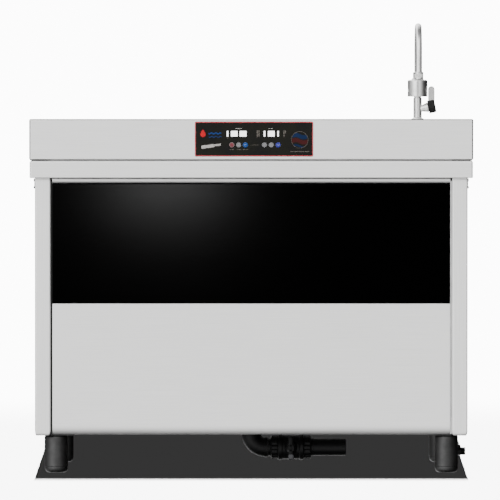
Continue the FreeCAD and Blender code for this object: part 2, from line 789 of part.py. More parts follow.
def drain_elbow(low):
    """Quarter bend: a socket round the drop pipe, then a spigot into the valve."""
    def bend(radius):
        start = V(drain_x, drain_y, drain_z + elbow_bend)
        mid_angle = math.radians(225)
        mid = V(drain_x + elbow_bend + elbow_bend * math.cos(mid_angle), drain_y,
                drain_z + elbow_bend + elbow_bend * math.sin(mid_angle))
        end = V(drain_x + elbow_bend, drain_y, drain_z)
        path = Part.Wire([Part.Arc(start, mid, end).toShape()])
        ring_wire = Part.Wire([Part.makeCircle(radius, start, Z)])
        return path.makePipeShell([ring_wire], True, True)
    z = drain_z + elbow_bend
    outer = [bend(elbow_r), rod(elbow_r, 30.0, V(drain_x, drain_y, z))]
    outer.append(rod(elbow_r, elbow_end_x - elbow_bend, V(drain_x + elbow_bend, drain_y, drain_z), X))
    outer.append(rod(tail_r, valve_start_x - elbow_bend, V(drain_x + elbow_bend, drain_y, drain_z), X))
    body = fuse(outer)
    body = body.cut(bend(pipe_bore))
    body = body.cut(rod(pipe_bore, 10.0, V(drain_x, drain_y, z)))
    body = body.cut(rod(pipe_r, 30.0, V(drain_x, drain_y, low)))
    return body.cut(rod(pipe_bore, valve_start_x - elbow_bend, V(drain_x + elbow_bend, drain_y, drain_z), X))


# ---- tap ----
def make_tap():
    c = V(tap_x, tap_y, 0)
    flange = rod(tap_flange_r, tap_flange_h, c + Z * deck_top_z)
    pillar = rod(pillar_r, barrel_z - deck_top_z, c + Z * deck_top_z)
    shank = rod(shank_r, shank_length, c + Z * (deck_top_z - shank_length))
    a = math.radians(valve_tilt)
    axis = V(math.cos(a), 0, math.sin(a))
    origin = V(tap_x, tap_y, valve_z)
    cone = Part.makeCone(pillar_r * 0.5, cone_r, cone_end, origin, axis)
    spindle = rod(spindle_r, spindle_length, origin + axis * cone_end, axis)
    bore = rod(supply_r + supply_clearance, shank_bore_depth, c + Z * (deck_top_z - shank_length))
    save("tap_pillar", fuse([flange, pillar, shank, cone, spindle]).cut(bore))

    nut = ring(shank_nut_r, shank_r, shank_nut_h, c + Z * (deck_top_z - sheet - shank_nut_h))
    save("tap_shank_nut", nut)

    barrel = rod(barrel_r, barrel_h, c + Z * barrel_z)
    rim = [e for e in barrel.Edges if abs(e.CenterOfMass.z - barrel_z - barrel_h) < 0.01]
    barrel = barrel.makeFillet(4.0, rim)
    collar = rod(collar_r, collar_h, c + Z * (barrel_z + barrel_h))
    skirt = Part.makeCone(collar_r + 5, collar_r, 6.0, c + Z * (barrel_z + barrel_h))
    socket_z = barrel_z + barrel_h + collar_h - spout_socket
    socket = rod(spout_r + spout_clearance, spout_socket, c + Z * socket_z)
    save("tap_barrel", fuse([barrel, collar, skirt]).cut(socket))

    save("tap_gooseneck", gooseneck(socket_z))
    tip = c - Y * spout_reach
    aerator = rod(aerator_r, aerator_h, tip + Z * aerator_z)
    aerator = aerator.cut(rod(spout_r - spout_wall, aerator_h, tip + Z * aerator_z))
    save("tap_aerator", aerator)

    start = origin + axis * (cone_end + cap_gap)
    cap = rod(cap_r, cap_length, start, axis)
    far_rim = [e for e in cap.Edges if (e.CenterOfMass - start).dot(axis) > cap_length - 0.01]
    cap = cap.makeFillet(4.0, far_rim)
    cap = cap.cut(rod(spindle_r + stem_clearance, spindle_length, start, axis))
    save("tap_lever_cap", cap)

    lever_x = tap_x + lever_offset
    lever_z = valve_z + lever_rise
    round_z = lever_z + lever_height - lever_width / 2
    blade = box(lever_x - lever_width / 2, lever_x + lever_width / 2, tap_y - lever_thick / 2,
                tap_y + lever_thick / 2, lever_z, round_z)
    tip = rod(lever_width / 2, lever_thick, V(lever_x, tap_y - lever_thick / 2, round_z), Y)
    keep_out = rod(cap_r, 4 * cap_length, start - axis * 2 * cap_length, axis)
    save("tap_lever", blade.fuse(tip).cut(keep_out))


def gooseneck(low_z):
    bend = spout_reach / 2
    top = spout_top_z - spout_r
    centre_z = top - bend
    a = V(tap_x, tap_y, low_z)
    b = V(tap_x, tap_y, centre_z)
    crown = V(tap_x, tap_y - bend, top)
    d = V(tap_x, tap_y - spout_reach, centre_z)
    e = V(tap_x, tap_y - spout_reach, aerator_z + aerator_h)
    path = Part.Wire([Part.makeLine(a, b), Part.Arc(b, crown, d).toShape(), Part.makeLine(d, e)])
    outer = path.makePipeShell([Part.Wire([Part.makeCircle(spout_r, a, Z)])], True, True)
    inner = path.makePipeShell([Part.Wire([Part.makeCircle(spout_r - spout_wall, a, Z)])], True, True)
    return outer.cut(inner)


# ---- water supply ----
def arc_path(points):
    """Straight runs joined by tangent arcs, as large as the two runs beside each point allow."""
    points = [V(*p) for p in points]
    edges = []
    radii = []
    last = points[0]
    for i in range(1, len(points) - 1):
        before = points[i] - points[i - 1]
        after = points[i + 1] - points[i]
        turn = before.getAngle(after)
        reach = 0.45 * min(before.Length, after.Length)
        radii.append(reach / math.tan(turn / 2))
        before.normalize()
        after.normalize()
        start = points[i] - before * reach
        end = points[i] + after * reach
        inward = after - before
        inward.normalize()
        to_mid = radii[-1] / math.cos(turn / 2) - radii[-1]
        middle = points[i] + inward * to_mid
        edges.append(Part.makeLine(last, start))
        edges.append(Part.Arc(start, middle, end).toShape())
        last = end
    edges.append(Part.makeLine(last, points[-1]))
    return Part.Wire(edges), radii


def make_supply():
    path, radii = arc_path(supply_route)
    print("supply pipe radii, mm:", [round(r) for r in radii])
    start = V(*supply_route[0])
    pipe = path.makePipeShell([Part.Wire([Part.makeCircle(supply_r, start, Z)])], True, True)
    print("supply pipe length, mm:", round(path.Length), "volume ratio:",
          round(pipe.Volume / (math.pi * supply_r ** 2 * path.Length), 4))
    save("supply_pipe", pipe)

    x0 = coupling_start_x
    body = rod(coupling_body_r, coupling_body, V(x0, inlet_y, inlet_z), X)
    body = body.fuse(rod(coupling_r - thread_relief, coupling_end_x - x0, V(x0, inlet_y, inlet_z), X))
    body = body.fuse(rod(coupling_r, thread_length, V(coupling_end_x - thread_length, inlet_y, inlet_z), X))
    pipe_x = supply_route[0][0]
    socket = rod(coupling_socket_r, coupling_socket_h, V(pipe_x, inlet_y, inlet_z))
    body = body.fuse(socket)
    hole = rod(supply_r + supply_clearance, coupling_socket_h, V(pipe_x, inlet_y, inlet_z + pipe_seat))
    mouth = rod(coupling_bore, coupling_end_x - pipe_x, V(pipe_x, inlet_y, inlet_z), X)
    save("inlet_coupling", cut(body, [hole, mouth]))


make_frame()
make_legs()
make_base_plate()
make_front_panels()
make_side_panels()
make_latches()
make_rear_panel()
make_rear_fittings()
make_screws()
make_deck()
make_apron()
make_tank()
make_transducers()
make_basket()
make_generator()
make_controls()
make_drain()
make_tap()
make_supply()
print("files:", len(os.listdir("parts")))
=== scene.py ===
import math

import bmesh
import bpy
from mathutils import Matrix, Vector


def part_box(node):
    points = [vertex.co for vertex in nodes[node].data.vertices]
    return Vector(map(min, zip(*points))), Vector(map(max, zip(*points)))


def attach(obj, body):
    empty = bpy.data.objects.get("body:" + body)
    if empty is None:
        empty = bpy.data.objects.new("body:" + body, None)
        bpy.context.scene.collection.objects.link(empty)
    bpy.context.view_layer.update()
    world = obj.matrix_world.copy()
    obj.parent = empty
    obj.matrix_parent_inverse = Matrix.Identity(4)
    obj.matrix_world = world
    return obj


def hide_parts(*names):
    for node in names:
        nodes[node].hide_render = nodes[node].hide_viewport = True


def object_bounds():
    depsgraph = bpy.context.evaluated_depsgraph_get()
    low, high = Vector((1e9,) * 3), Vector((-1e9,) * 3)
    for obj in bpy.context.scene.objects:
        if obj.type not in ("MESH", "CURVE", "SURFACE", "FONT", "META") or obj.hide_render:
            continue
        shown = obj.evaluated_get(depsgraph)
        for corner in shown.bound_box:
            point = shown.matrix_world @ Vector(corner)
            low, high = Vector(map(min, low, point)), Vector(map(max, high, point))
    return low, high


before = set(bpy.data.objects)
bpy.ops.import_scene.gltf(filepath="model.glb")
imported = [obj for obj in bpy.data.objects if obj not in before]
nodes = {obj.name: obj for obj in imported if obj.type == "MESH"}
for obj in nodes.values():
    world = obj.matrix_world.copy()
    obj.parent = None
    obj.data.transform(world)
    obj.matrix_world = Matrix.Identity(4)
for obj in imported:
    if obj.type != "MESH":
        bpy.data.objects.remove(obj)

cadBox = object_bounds()
xAxis, yAxis, zAxis = Vector((1, 0, 0)), Vector((0, 1, 0)), Vector((0, 0, 1))
ground = (Vector((0, 0, 0)), xAxis, yAxis, zAxis)  # a place is an origin, two directions and the way up


# --- colours and shader nodes
def hexToLinear(code):
    channels = [int(code[i:i + 2], 16) / 255 for i in (0, 2, 4)]
    linear = [c / 12.92 if c <= 0.04045 else ((c + 0.055) / 1.055) ** 2.4 for c in channels]
    return (*linear, 1.0)


def addNode(tree, kind, settings=None, inputs=None, links=None):
    node = tree.nodes.new(kind)
    for key, value in (settings or {}).items():
        setattr(node, key, value)
    for key, value in (inputs or {}).items():
        node.inputs[key].default_value = value
    for key, source in (links or {}).items():
        tree.links.new(source, node.inputs[key])
    return node


def newMaterial(name, base, metallic, roughness, ior=None, extra=None):
    mat = bpy.data.materials.new(name)
    mat.use_nodes = True
    shader = mat.node_tree.nodes["Principled BSDF"]
    shader.inputs["Base Color"].default_value = hexToLinear(base)
    shader.inputs["Metallic"].default_value = metallic
    shader.inputs["Roughness"].default_value = roughness
    if ior:
        shader.inputs["IOR"].default_value = ior
    for key, value in (extra or {}).items():
        shader.inputs[key].default_value = value
    return mat, mat.node_tree, shader


def tintBy(tree, factor, dark, light, low=0.3, high=0.7):
    ramp = addNode(tree, "ShaderNodeValToRGB", links={"Fac": factor})
    for element, place, code in zip(ramp.color_ramp.elements, (low, high), (dark, light)):
        element.position = place
        element.color = hexToLinear(code)
    return ramp.outputs["Color"]


def spread(tree, factor, low, high):
    node = addNode(tree, "ShaderNodeMapRange", inputs={"To Min": low, "To Max": high},
                   links={"Value": factor})
    return node.outputs["Result"]


def bumpFrom(tree, shader, height, strength, distance):
    bump = addNode(tree, "ShaderNodeBump", inputs={"Strength": strength, "Distance": distance},
                   links={"Height": height})
    tree.links.new(bump.outputs["Normal"], shader.inputs["Normal"])


def objectNoise(tree, scale, detail=3.0, roughness=0.5, stretch=(1, 1, 1)):
    coords = addNode(tree, "ShaderNodeTexCoord")
    mapping = addNode(tree, "ShaderNodeMapping", inputs={"Scale": stretch},
                      links={"Vector": coords.outputs["Object"]})
    noise = addNode(tree, "ShaderNodeTexNoise",
                    inputs={"Scale": scale, "Detail": detail, "Roughness": roughness},
                    links={"Vector": mapping.outputs["Vector"]})
    return noise.outputs["Fac"]


steelLook = {
    "base": "D4D4D3", "dark": "CDCDCC", "light": "DBDBDA",
    "metallic": 0.97,
    "roughness": (0.38, 0.5),
    "gritMm": 0.9,  # the real grit lines are 0.1 mm apart, drawn coarser so that they show
    "lineLengthMm": 160,
    "cloudMm": 260,
}


# rolled stainless sheet, brushed with a belt: fine lines one way and a soft, streaked gloss
def brushedStainless(name, along, look=steelLook):
    mat, tree, shader = newMaterial(name, look["base"], look["metallic"], 0.4)
    across = 1000 / look["gritMm"] / 4
    stretch = [across, across, across]
    stretch[along] = 1000 / look["lineLengthMm"] / 4
    grit = objectNoise(tree, 4.0, 4.0, 0.6, stretch)
    cloud = objectNoise(tree, 1000 / look["cloudMm"], 2.0, 0.5)
    tree.links.new(tintBy(tree, grit, look["dark"], look["light"]), shader.inputs["Base Color"])
    mixed = addNode(tree, "ShaderNodeMath", {"operation": "MULTIPLY_ADD"}, {1: 0.3},
                    {0: cloud, 2: grit})
    tree.links.new(spread(tree, mixed.outputs[0], *look["roughness"]), shader.inputs["Roughness"])
    bumpFrom(tree, shader, grit, 0.04, 0.0002)
    return mat


# deep drawn and pickled tank steel: smooth mill finish, with soft clouds and fine grain
def pickledStainless(name):
    mat, tree, shader = newMaterial(name, "CFD0D0", 1.0, 0.3)
    cloud = objectNoise(tree, 9.0, 4.0, 0.6)
    grain = objectNoise(tree, 900.0, 2.0, 0.6)
    tree.links.new(tintBy(tree, cloud, "C4C6C7", "D8D8D8"), shader.inputs["Base Color"])
    tree.links.new(spread(tree, cloud, 0.22, 0.38), shader.inputs["Roughness"])
    bumpFrom(tree, shader, grain, 0.05, 0.0001)
    return mat


# turned on a lathe: fine rings round the axis, with a little oil shade between them
def turnedSteel(name, base, dark, light, roughness, metallic=1.0, axis=2, pitchMm=0.6):
    mat, tree, shader = newMaterial(name, base, metallic, sum(roughness) / 2)
    stretch = [3.0, 3.0, 3.0]
    stretch[axis] = 1000 / pitchMm / 2
    rings = objectNoise(tree, 2.0, 2.0, 0.5, stretch)
    cloud = objectNoise(tree, 40.0, 3.0, 0.6)
    tree.links.new(tintBy(tree, cloud, dark, light), shader.inputs["Base Color"])
    tree.links.new(spread(tree, rings, *roughness), shader.inputs["Roughness"])
    bumpFrom(tree, shader, rings, 0.08, 0.0001)
    return mat


# a weld left as it cooled: ripples across the bead, and straw and blue heat colours
def weldBead(name):
    mat, tree, shader = newMaterial(name, "B9B4AA", 1.0, 0.4)
    heat = objectNoise(tree, 55.0, 3.0, 0.6)
    tree.links.new(tintBy(tree, heat, "A39A8A", "C9C8C6"), shader.inputs["Base Color"])
    tree.links.new(spread(tree, heat, 0.3, 0.5), shader.inputs["Roughness"])
    bumpFrom(tree, shader, objectNoise(tree, 700.0, 2.0, 0.5), 0.1, 0.0002)
    return mat


enamelLook = {
    "base": "000000",
    "level": 0.03,  # a thick black coat gives back little light face on
    "roughness": (0.16, 0.19),
    "peelMm": 3.0,  # orange peel cells
}


# stoved black enamel: a deep, wet gloss with slight orange peel and a few wiping marks
def glossEnamel(name, look=enamelLook):
    mat, tree, shader = newMaterial(name, look["base"], 0.0, 0.3, 1.5,
                                    {"Specular IOR Level": look["level"]})
    peel = objectNoise(tree, 1000 / look["peelMm"], 1.0, 0.4)
    wiped = objectNoise(tree, 14.0, 5.0, 0.65, (0.4, 1, 1))
    tree.links.new(spread(tree, wiped, *look["roughness"]), shader.inputs["Roughness"])
    bumpFrom(tree, shader, peel, 0.03, 0.0001)
    return mat


# injection moulded: a fine spark-eroded grain from the tool and slight flow clouds
def mouldedPlastic(name, base, dark, light, roughness, grainMm=0.8, bump=0.12, level=0.5, glow=0.0):
    mat, tree, shader = newMaterial(name, base, 0.0, sum(roughness) / 2, 1.5,
                                    {"Specular IOR Level": level})
    if glow:
        shader.inputs["Emission Color"].default_value = (1, 1, 1, 1)
        shader.inputs["Emission Strength"].default_value = glow
    grain = objectNoise(tree, 1000 / grainMm, 2.0, 0.5)
    flow = objectNoise(tree, 30.0, 3.0, 0.6)
    tree.links.new(tintBy(tree, flow, dark, light), shader.inputs["Base Color"])
    tree.links.new(spread(tree, grain, *roughness), shader.inputs["Roughness"])
    bumpFrom(tree, shader, grain, bump, 0.0002)
    return mat


# glass-epoxy board under green solder mask: copper tracks show as a raised, darker maze
def circuitLaminate(name):
    mat, tree, shader = newMaterial(name, "1C5A34", 0.0, 0.35, 1.5)
    coords = addNode(tree, "ShaderNodeTexCoord")
    bricks = addNode(tree, "ShaderNodeTexBrick",
                     inputs={"Scale": 140.0, "Mortar Size": 0.03, "Color1": hexToLinear("1C5A34"),
                             "Color2": hexToLinear("20663B"), "Mortar": hexToLinear("14472A")},
                     links={"Vector": coords.outputs["Object"]})
    tree.links.new(bricks.outputs["Color"], shader.inputs["Base Color"])
    bumpFrom(tree, shader, bricks.outputs["Fac"], 0.2, 0.0002)
    return mat


mats = {
    "steelX": brushedStainless("brushed stainless sheet, grain along the width", 0),
    "steelY": brushedStainless("brushed stainless sheet, grain along the depth", 1),
    "steelZ": brushedStainless("brushed stainless tube, grain upright", 2),
    "tank": pickledStainless("pickled tank steel"),
    # a darker copy of the sheet steel for the deck's outer bends: painted shade
    "bend": turnedSteel("stainless sheet darkened on bends as painted shade", "6A6A69", "646463", "727271", (0.4, 0.5), 0.97),
    "weld": weldBead("cooled weld bead"),
    # the feet and leg sleeves are plain steel; their dark base colour is painted shade for their place under
    # the bench
    "foot": turnedSteel("foot steel darkened as painted shade", "404040", "3A3A3A", "474747", (0.4, 0.55)),
    "tap": turnedSteel("polished tap steel", "EDEDEC", "E6E6E5", "F4F4F3", (0.27, 0.33)),
    "screw": turnedSteel("zinc plated steel", "BEBDB6", "B2B1A8", "CAC9C4", (0.3, 0.45), 1.0, 1),
    "alloy": turnedSteel("turned aluminium", "C9CACC", "BFC0C2", "D2D3D4", (0.3, 0.45)),
    "enamel": glossEnamel("stoved black enamel"),
    "pvc": mouldedPlastic("moulded dark PVC", "0B0B0C", "090909", "0E0E0F", (0.38, 0.55), level=0.15),
    "abs": mouldedPlastic("moulded black ABS", "030303", "020202", "040404", (0.3, 0.45), level=0.15),
    "blades": mouldedPlastic("glass filled black nylon", "181818", "121212", "202020", (0.45, 0.6)),
    "rubber": mouldedPlastic("grey EPDM rubber", "212121", "1D1D1D", "262626", (0.7, 0.85), 1.5, 0.2),
    # only the right hand cord uses this grey: painted light on the lit side
    "seal": mouldedPlastic("sealing cord, grey as painted light", "3B3B3B", "373737", "404040", (0.6, 0.8)),
    "foam": mouldedPlastic("closed cell foam", "2A2A2C", "222224", "343436", (0.8, 0.95), 2.5, 0.6),
    "silicone": mouldedPlastic("red silicone rubber", "A5432A", "983A22", "B04D33", (0.5, 0.65), 2.0, 0.3),
    "powder": mouldedPlastic("grey powder coat", "A3A7AC", "9A9EA3", "ACB0B4", (0.4, 0.6), 1.2, 0.35),
    "red": mouldedPlastic("red ABS", "A81E1C", "9C1917", "B32422", (0.25, 0.4)),
    "board": circuitLaminate("green circuit board"),
    "overlay": mouldedPlastic("matt polyester overlay", "020101", "010101", "020201", (0.35, 0.5), 0.5,
                              0.08, 0.12),
    "window": mouldedPlastic("lit display window", "303132", "2C2D2E", "353637", (0.1, 0.18), 4.0, 0.02,
                             0.3, 3.0),
    # the printed white marks on the keys and the isolator glow a little: painted light, they hold no lamp
    "keyWhite": mouldedPlastic("white mark with painted glow", "3C3D3E", "383939", "404142", (0.3, 0.4), 0.8, 0.05,
                               0.3, 0.5),
}
# the key light is hard, so inks and keys are mixed darker than they look under it
inks = {
    "printRed": ("red screen print", "501517", "4B1215", "54171B"),
    "printBright": ("bright red screen print", "3D0305", "3B0305", "410506"),
    "printGrey": ("pale screen print", "343432", "30302F", "393735"),
    "printFaint": ("faint screen print", "1B1917", "191715", "1D1B19"),
    "printNavy": ("navy screen print", "01030D", "00030C", "01040F"),
    "printBlue": ("blue screen print", "030B20", "020A1E", "030E24"),
    "printBrown": ("dark red screen print", "0C0202", "0A0101", "0D0202"),
}
keyPlastics = {
    "keyMauve": ("domed key, mauve", "261D1D", "241A1A", "281F1F"),
    "keyRed": ("domed key, red", "220C0E", "1F090C", "240E10"),
    "keyGrey": ("domed key, grey", "242425", "212121", "262627"),
    "keyBlue": ("domed key, blue", "010F27", "010D25", "02112A"),
    "keyViolet": ("domed key, violet blue", "080A2C", "070829", "0B0D2E"),
}
for lookName, look in inks.items():
    mats[lookName] = mouldedPlastic(*look, (0.4, 0.5), grainMm=0.5, bump=0.05, level=0.12)
for lookName, look in keyPlastics.items():
    mats[lookName] = mouldedPlastic(*look, (0.25, 0.35), bump=0.05, level=0.2)
nodeLook = {
    "frame_rails": "steelX", "base_plate": "steelX", "deck_gasket": "rubber", "tank_insulation": "foam",
    "heater_pads": "silicone", "transducers": "alloy", "temperature_probe": "screw",
    "generator_case": "powder", "generator_cover": "powder", "generator_board": "board",
    "control_board": "board", "fan_frame": "blades", "fan_rotor": "blades", "drain_fitting": "tank",
    "drain_strainer": "tank", "supply_pipe": "tap", "tap_shank_nut": "tap",
    "drain_drop_pipe": "pvc", "drain_valve_ball": "pvc",
}  # the CAD nodes that stay; the others get a piece of their own below
for nodeName, lookName in nodeLook.items():
    nodes[nodeName].data.materials.clear()
    nodes[nodeName].data.materials.append(mats[lookName])
print("materials done")


def measured(node):
    low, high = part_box(node)
    return low * 1000, high * 1000


def finish(name, bm, mat, body=None, replaced=(), sharp=35):
    bmesh.ops.recalc_face_normals(bm, faces=bm.faces)
    mesh = bpy.data.meshes.new(name)
    bm.to_mesh(mesh)
    bm.free()
    mesh.transform(Matrix.Scale(0.001, 4))
    mesh.shade_smooth()
    obj = bpy.data.objects.new(name, mesh)
    bpy.context.scene.collection.objects.link(obj)
    mesh.materials.append(mat)
    mesh.set_sharp_from_angle(angle=math.radians(sharp))
    if body:
        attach(obj, body)
    if replaced:
        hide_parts(*replaced)
    return obj


def soften(obj, width, segments=2):
    bevel = obj.modifiers.new("soft edges", "BEVEL")
    bevel.width = width / 1000
    bevel.segments = segments
    bevel.limit_method = "ANGLE"
    bevel.angle_limit = math.radians(40)
    bevel.harden_normals = True
    return obj


def boxInto(bm, low, high, bevel=0.0, segments=3):
    low, high = Vector(low), Vector(high)
    verts = bmesh.ops.create_cube(bm, size=1.0)["verts"]
    for v in verts:
        v.co = Vector((v.co[i] * (high - low)[i] for i in range(3))) + (low + high) / 2
    if bevel:
        edges = list(dict.fromkeys(e for v in verts for e in v.link_edges))  # each once, in a fixed order
        bmesh.ops.bevel(bm, geom=edges, offset=bevel, segments=segments, profile=0.5, affect="EDGES",
                        clamp_overlap=True)
    return bm


def bridge(bm, low, high):
    for i in range(len(low)):
        j = (i + 1) % len(low)
        bm.faces.new((low[i], low[j], high[j], high[i]))


# a rectangle with round corners
def outline(halfU, halfV, corner, steps=6):
    for index, (su, sv) in enumerate(((1, 1), (-1, 1), (-1, -1), (1, -1))):
        for k in range(steps + 1):
            a = math.radians(90 * (index + k / steps))
            yield ((halfU - corner) * su + corner * math.cos(a),
                   (halfV - corner) * sv + corner * math.sin(a))


# rings are (half width, half depth, corner radius, height), each joined to the next
def ringsInto(bm, rings, place=ground, caps=(False, False), closed=False, steps=6):
    origin, u, v, w = place
    loops = [[bm.verts.new(origin + u * a + v * b + w * height)
              for a, b in outline(halfU, halfV, corner, steps)] for halfU, halfV, corner, height in rings]
    if closed:
        loops.append(loops[0])
    for low, high in zip(loops, loops[1:]):
        bridge(bm, low, high)
    for loop, capped in ((loops[0], caps[0]), (loops[-1], caps[1])):
        if capped:
            bm.faces.new(loop)
    return loops


def fillWithHoles(bm, loops):
    edges = []
    for loop in loops:
        for a, b in zip(loop, loop[1:] + loop[:1]):
            edges.append(bm.edges.get((a, b)) or bm.edges.new((a, b)))
    bmesh.ops.triangle_fill(bm, use_beauty=True, use_dissolve=False, edges=edges)


# a flat plate with holes: the first loop is its outline, the others are the holes
def plateInto(bm, place, loops, depth):
    origin, u, v, w = place
    near, far = ([[bm.verts.new(origin + u * a + v * b + w * h) for a, b in loop] for loop in loops]
                 for h in (0, depth))
    for low, high in zip(near, far):
        bridge(bm, low, high)
    fillWithHoles(bm, near)
    fillWithHoles(bm, far)
    return bm


def circle(radius, steps=32, centre=(0, 0)):
    return [(centre[0] + radius * math.cos(2 * math.pi * i / steps),
             centre[1] + radius * math.sin(2 * math.pi * i / steps)) for i in range(steps)]


def axisFrame(axis):
    axis = Vector(axis).normalized()
    side = xAxis if abs(axis.z) > 0.99 else axis.orthogonal().normalized()
    return side, axis.cross(side).normalized(), axis


# turns (radius, height) points about the axis; a third number says how far shape(angle) bends that ring
def latheInto(bm, profile, centre, axis=zAxis, steps=64, shape=None):
    side, up, along = axisFrame(axis)
    centre = Vector(centre)
    closed = profile[0] == profile[-1]
    rings = []
    for point in profile[:-1] if closed else profile:
        radius, height = point[0], point[1]
        weight = point[2] if len(point) > 2 else 0.0
        if radius < 1e-6:
            rings.append([bm.verts.new(centre + along * height)])
            continue
        ring = []
        for i in range(steps):
            a = 2 * math.pi * i / steps
            r = radius * (1 + weight * (shape(a) - 1)) if weight else radius
            ring.append(bm.verts.new(centre + along * height + (side * math.cos(a) + up * math.sin(a)) * r))
        rings.append(ring)
    if closed:
        rings.append(rings[0])
    for low, high in zip(rings, rings[1:]):
        if len(low) == 1 and len(high) == 1:
            continue
        if len(low) > 1 and len(high) > 1:
            bridge(bm, low, high)
            continue
        tip, rim = (low[0], high) if len(low) == 1 else (high[0], low)
        for i in range(steps):
            bm.faces.new((tip, rim[i], rim[(i + 1) % steps]))
    return bm


# how a ring is bent: a hexagon cuts six flats in it, ribs cut hollows between ridges
def hexagon(a):
    return math.cos(math.pi / 6) / math.cos((a % (math.pi / 3)) - math.pi / 6)


def ribs(count, depth):
    return lambda a: 1 - depth * (0.5 + 0.5 * math.cos(a * count)) ** 3


# points along an arc, from one angle to another
def quarter(centreR, centreH, radius, start, stop, count=6):
    for i in range(count + 1):
        a = math.radians(start + (stop - start) * i / count)
        yield centreR + radius * math.cos(a), centreH + radius * math.sin(a)


# a round rod along a list of points, with its rings turned as little as possible
def tubeInto(bm, points, radius, steps=16, cyclic=False, ripple=None):
    points = [Vector(p) for p in points]
    count = len(points)
    tangents = []
    for i in range(count):
        before = points[i - 1] if i or cyclic else points[i]
        after = points[(i + 1) % count] if i < count - 1 or cyclic else points[i]
        tangents.append((after - before).normalized())
    side = tangents[0].orthogonal().normalized()
    rings = []
    for i in range(count):
        side = (side - tangents[i] * side.dot(tangents[i])).normalized()
        up = tangents[i].cross(side)
        r = radius * (ripple(i) if ripple else 1)
        rings.append([bm.verts.new(points[i] + (side * math.cos(2 * math.pi * k / steps)
                                                + up * math.sin(2 * math.pi * k / steps)) * r)
                      for k in range(steps)])
    if cyclic:
        rings.append(rings[0])
    for low, high in zip(rings, rings[1:]):
        bridge(bm, low, high)
    if not cyclic:
        bm.faces.new(rings[0])
        bm.faces.new(rings[-1])
    return bm


# a rod's centre line: straight runs with one bending radius at every corner
def bentPath(points, radius, steps=8):
    points = [Vector(p) for p in points]
    path = [points[0]]
    for before, here, after in zip(points, points[1:], points[2:]):
        a, b = (before - here).normalized(), (after - here).normalized()
        half = a.angle(b) / 2
        centre = here + (a + b).normalized() * radius / math.sin(half)
        reach = radius / math.tan(half)
        start, end = here + a * reach - centre, here + b * reach - centre
        sweep = start.angle(end)
        for i in range(steps + 1):
            t = i / steps
            spot = centre + (start * math.sin((1 - t) * sweep) + end * math.sin(t * sweep)) / math.sin(sweep)
            if (spot - path[-1]).length > 0.01:
                path.append(spot)
    path.append(points[-1])
    return path


# --- cabinet
cabinet = {
    "postCorner": 4.0, "postWall": 2.0, "postSide": 40.0,
    "postEnd": (5.0, 13.0),  # depth and height of the rounded lower end
    "foldRadius": 2.2, "sheet": 2.0,
    "rolledEdge": (14.0, 32.0),  # depth and height of the roll
    "enamelFold": 1.4,
    "stripRoll": 9.0,
    "sideInset": 1.0,  # the side sheets lie this far inside the posts
    "earSize": (8.0, 2.0, 8.0), "earOffsets": (-5.0, 3.0), "earDrop": 1.5,  # ears that hold a latch's pin
}


# a bar of one section, given as (y, z) points, from x0 to x1
def sectionInto(bm, section, x0, x1):
    ends = [[bm.verts.new((x, y, z)) for y, z in section] for x in (x0, x1)]
    bridge(bm, *ends)
    for end in ends:
        bm.faces.new(end)
    return bm


# a tray folded from sheet: its face lies depth above the place, and it is open behind
def panInto(bm, place, halfU, halfV, depth, radius, wall, corner=1.5):
    rings = [(halfU - wall, halfV - wall, corner, depth - wall), (halfU - wall, halfV - wall, corner, 0.0),
             (halfU, halfV, corner, 0.0)]
    for inward, height in quarter(radius, depth - radius, radius, 180, 90):
        rings.append((halfU - inward, halfV - inward, max(corner - inward, 0.3), height))
    return ringsInto(bm, rings, place, steps=3)


def makePosts():
    low, high = measured("corner_posts")
    half = cabinet["postSide"] / 2
    inner = half - cabinet["postWall"]
    deep, tall = cabinet["postEnd"]
    bm = bmesh.new()
    for sx in (-1, 1):
        for sy in (-1, 1):
            place = (Vector((sx * (high.x - half), sy * (high.y - half), 0)), xAxis, yAxis, zAxis)
            rings = [(half - deep * (1 - math.cos(a)), half - deep * (1 - math.cos(a)),
                      cabinet["postCorner"], low.z + tall * (1 - math.sin(a)))
                     for a in (math.radians(d) for d in range(80, -1, -10))]
            rings += [(half, half, cabinet["postCorner"], high.z), (inner, inner, 2.0, high.z),
                      (inner, inner, 2.0, low.z + tall), (half - deep - 1, half - deep - 1, 2.0, low.z + 1)]
            ringsInto(bm, rings, place, closed=True)
    finish("corner_post_tubes", bm, mats["steelZ"], "bench", ["corner_posts"])


def makeFrontPanels():
    low, high = measured("lower_front_panel")
    fold, roll = cabinet["foldRadius"], cabinet["rolledEdge"]
    section = [(high.y, high.z), *quarter(low.y + fold, high.z - fold, fold, 90, 180, 5)]
    for a in (math.radians(d) for d in range(0, 91, 9)):
        section.append((low.y + roll[0] * (1 - math.cos(a)), low.z + roll[1] * (1 - math.sin(a))))
    section.append((high.y, low.z))
    panel = finish("lower_front_sheet", sectionInto(bmesh.new(), section, low.x, high.x), mats["steelX"],
                   "bench", ["lower_front_panel"])
    soften(panel, 0.8)

    low, high = measured("black_front_panel")
    middle = (low + high) / 2
    place = (Vector((middle.x, high.y, middle.z)), xAxis, zAxis, -yAxis)
    bm = bmesh.new()
    loops = panInto(bm, place, (high.x - low.x) / 2, (high.z - low.z) / 2, high.y - low.y,
                    cabinet["enamelFold"], cabinet["sheet"])
    bm.faces.new(loops[0])
    bm.faces.new(loops[-1])
    finish("black_enamel_sheet", bm, mats["enamel"], "bench", ["black_front_panel"])

    low, high = measured("front_trim_strip")
    roll = cabinet["stripRoll"]
    section = [(high.y, high.z), (low.y + 1, high.z), (low.y, high.z - 1)]
    section += [*quarter(low.y + roll, low.z + roll, roll, 180, 262, 10), (high.y, low.z)]
    finish("front_trim_moulding", sectionInto(bmesh.new(), section, low.x, high.x), mats["steelX"],
           "bench", ["front_trim_strip"])
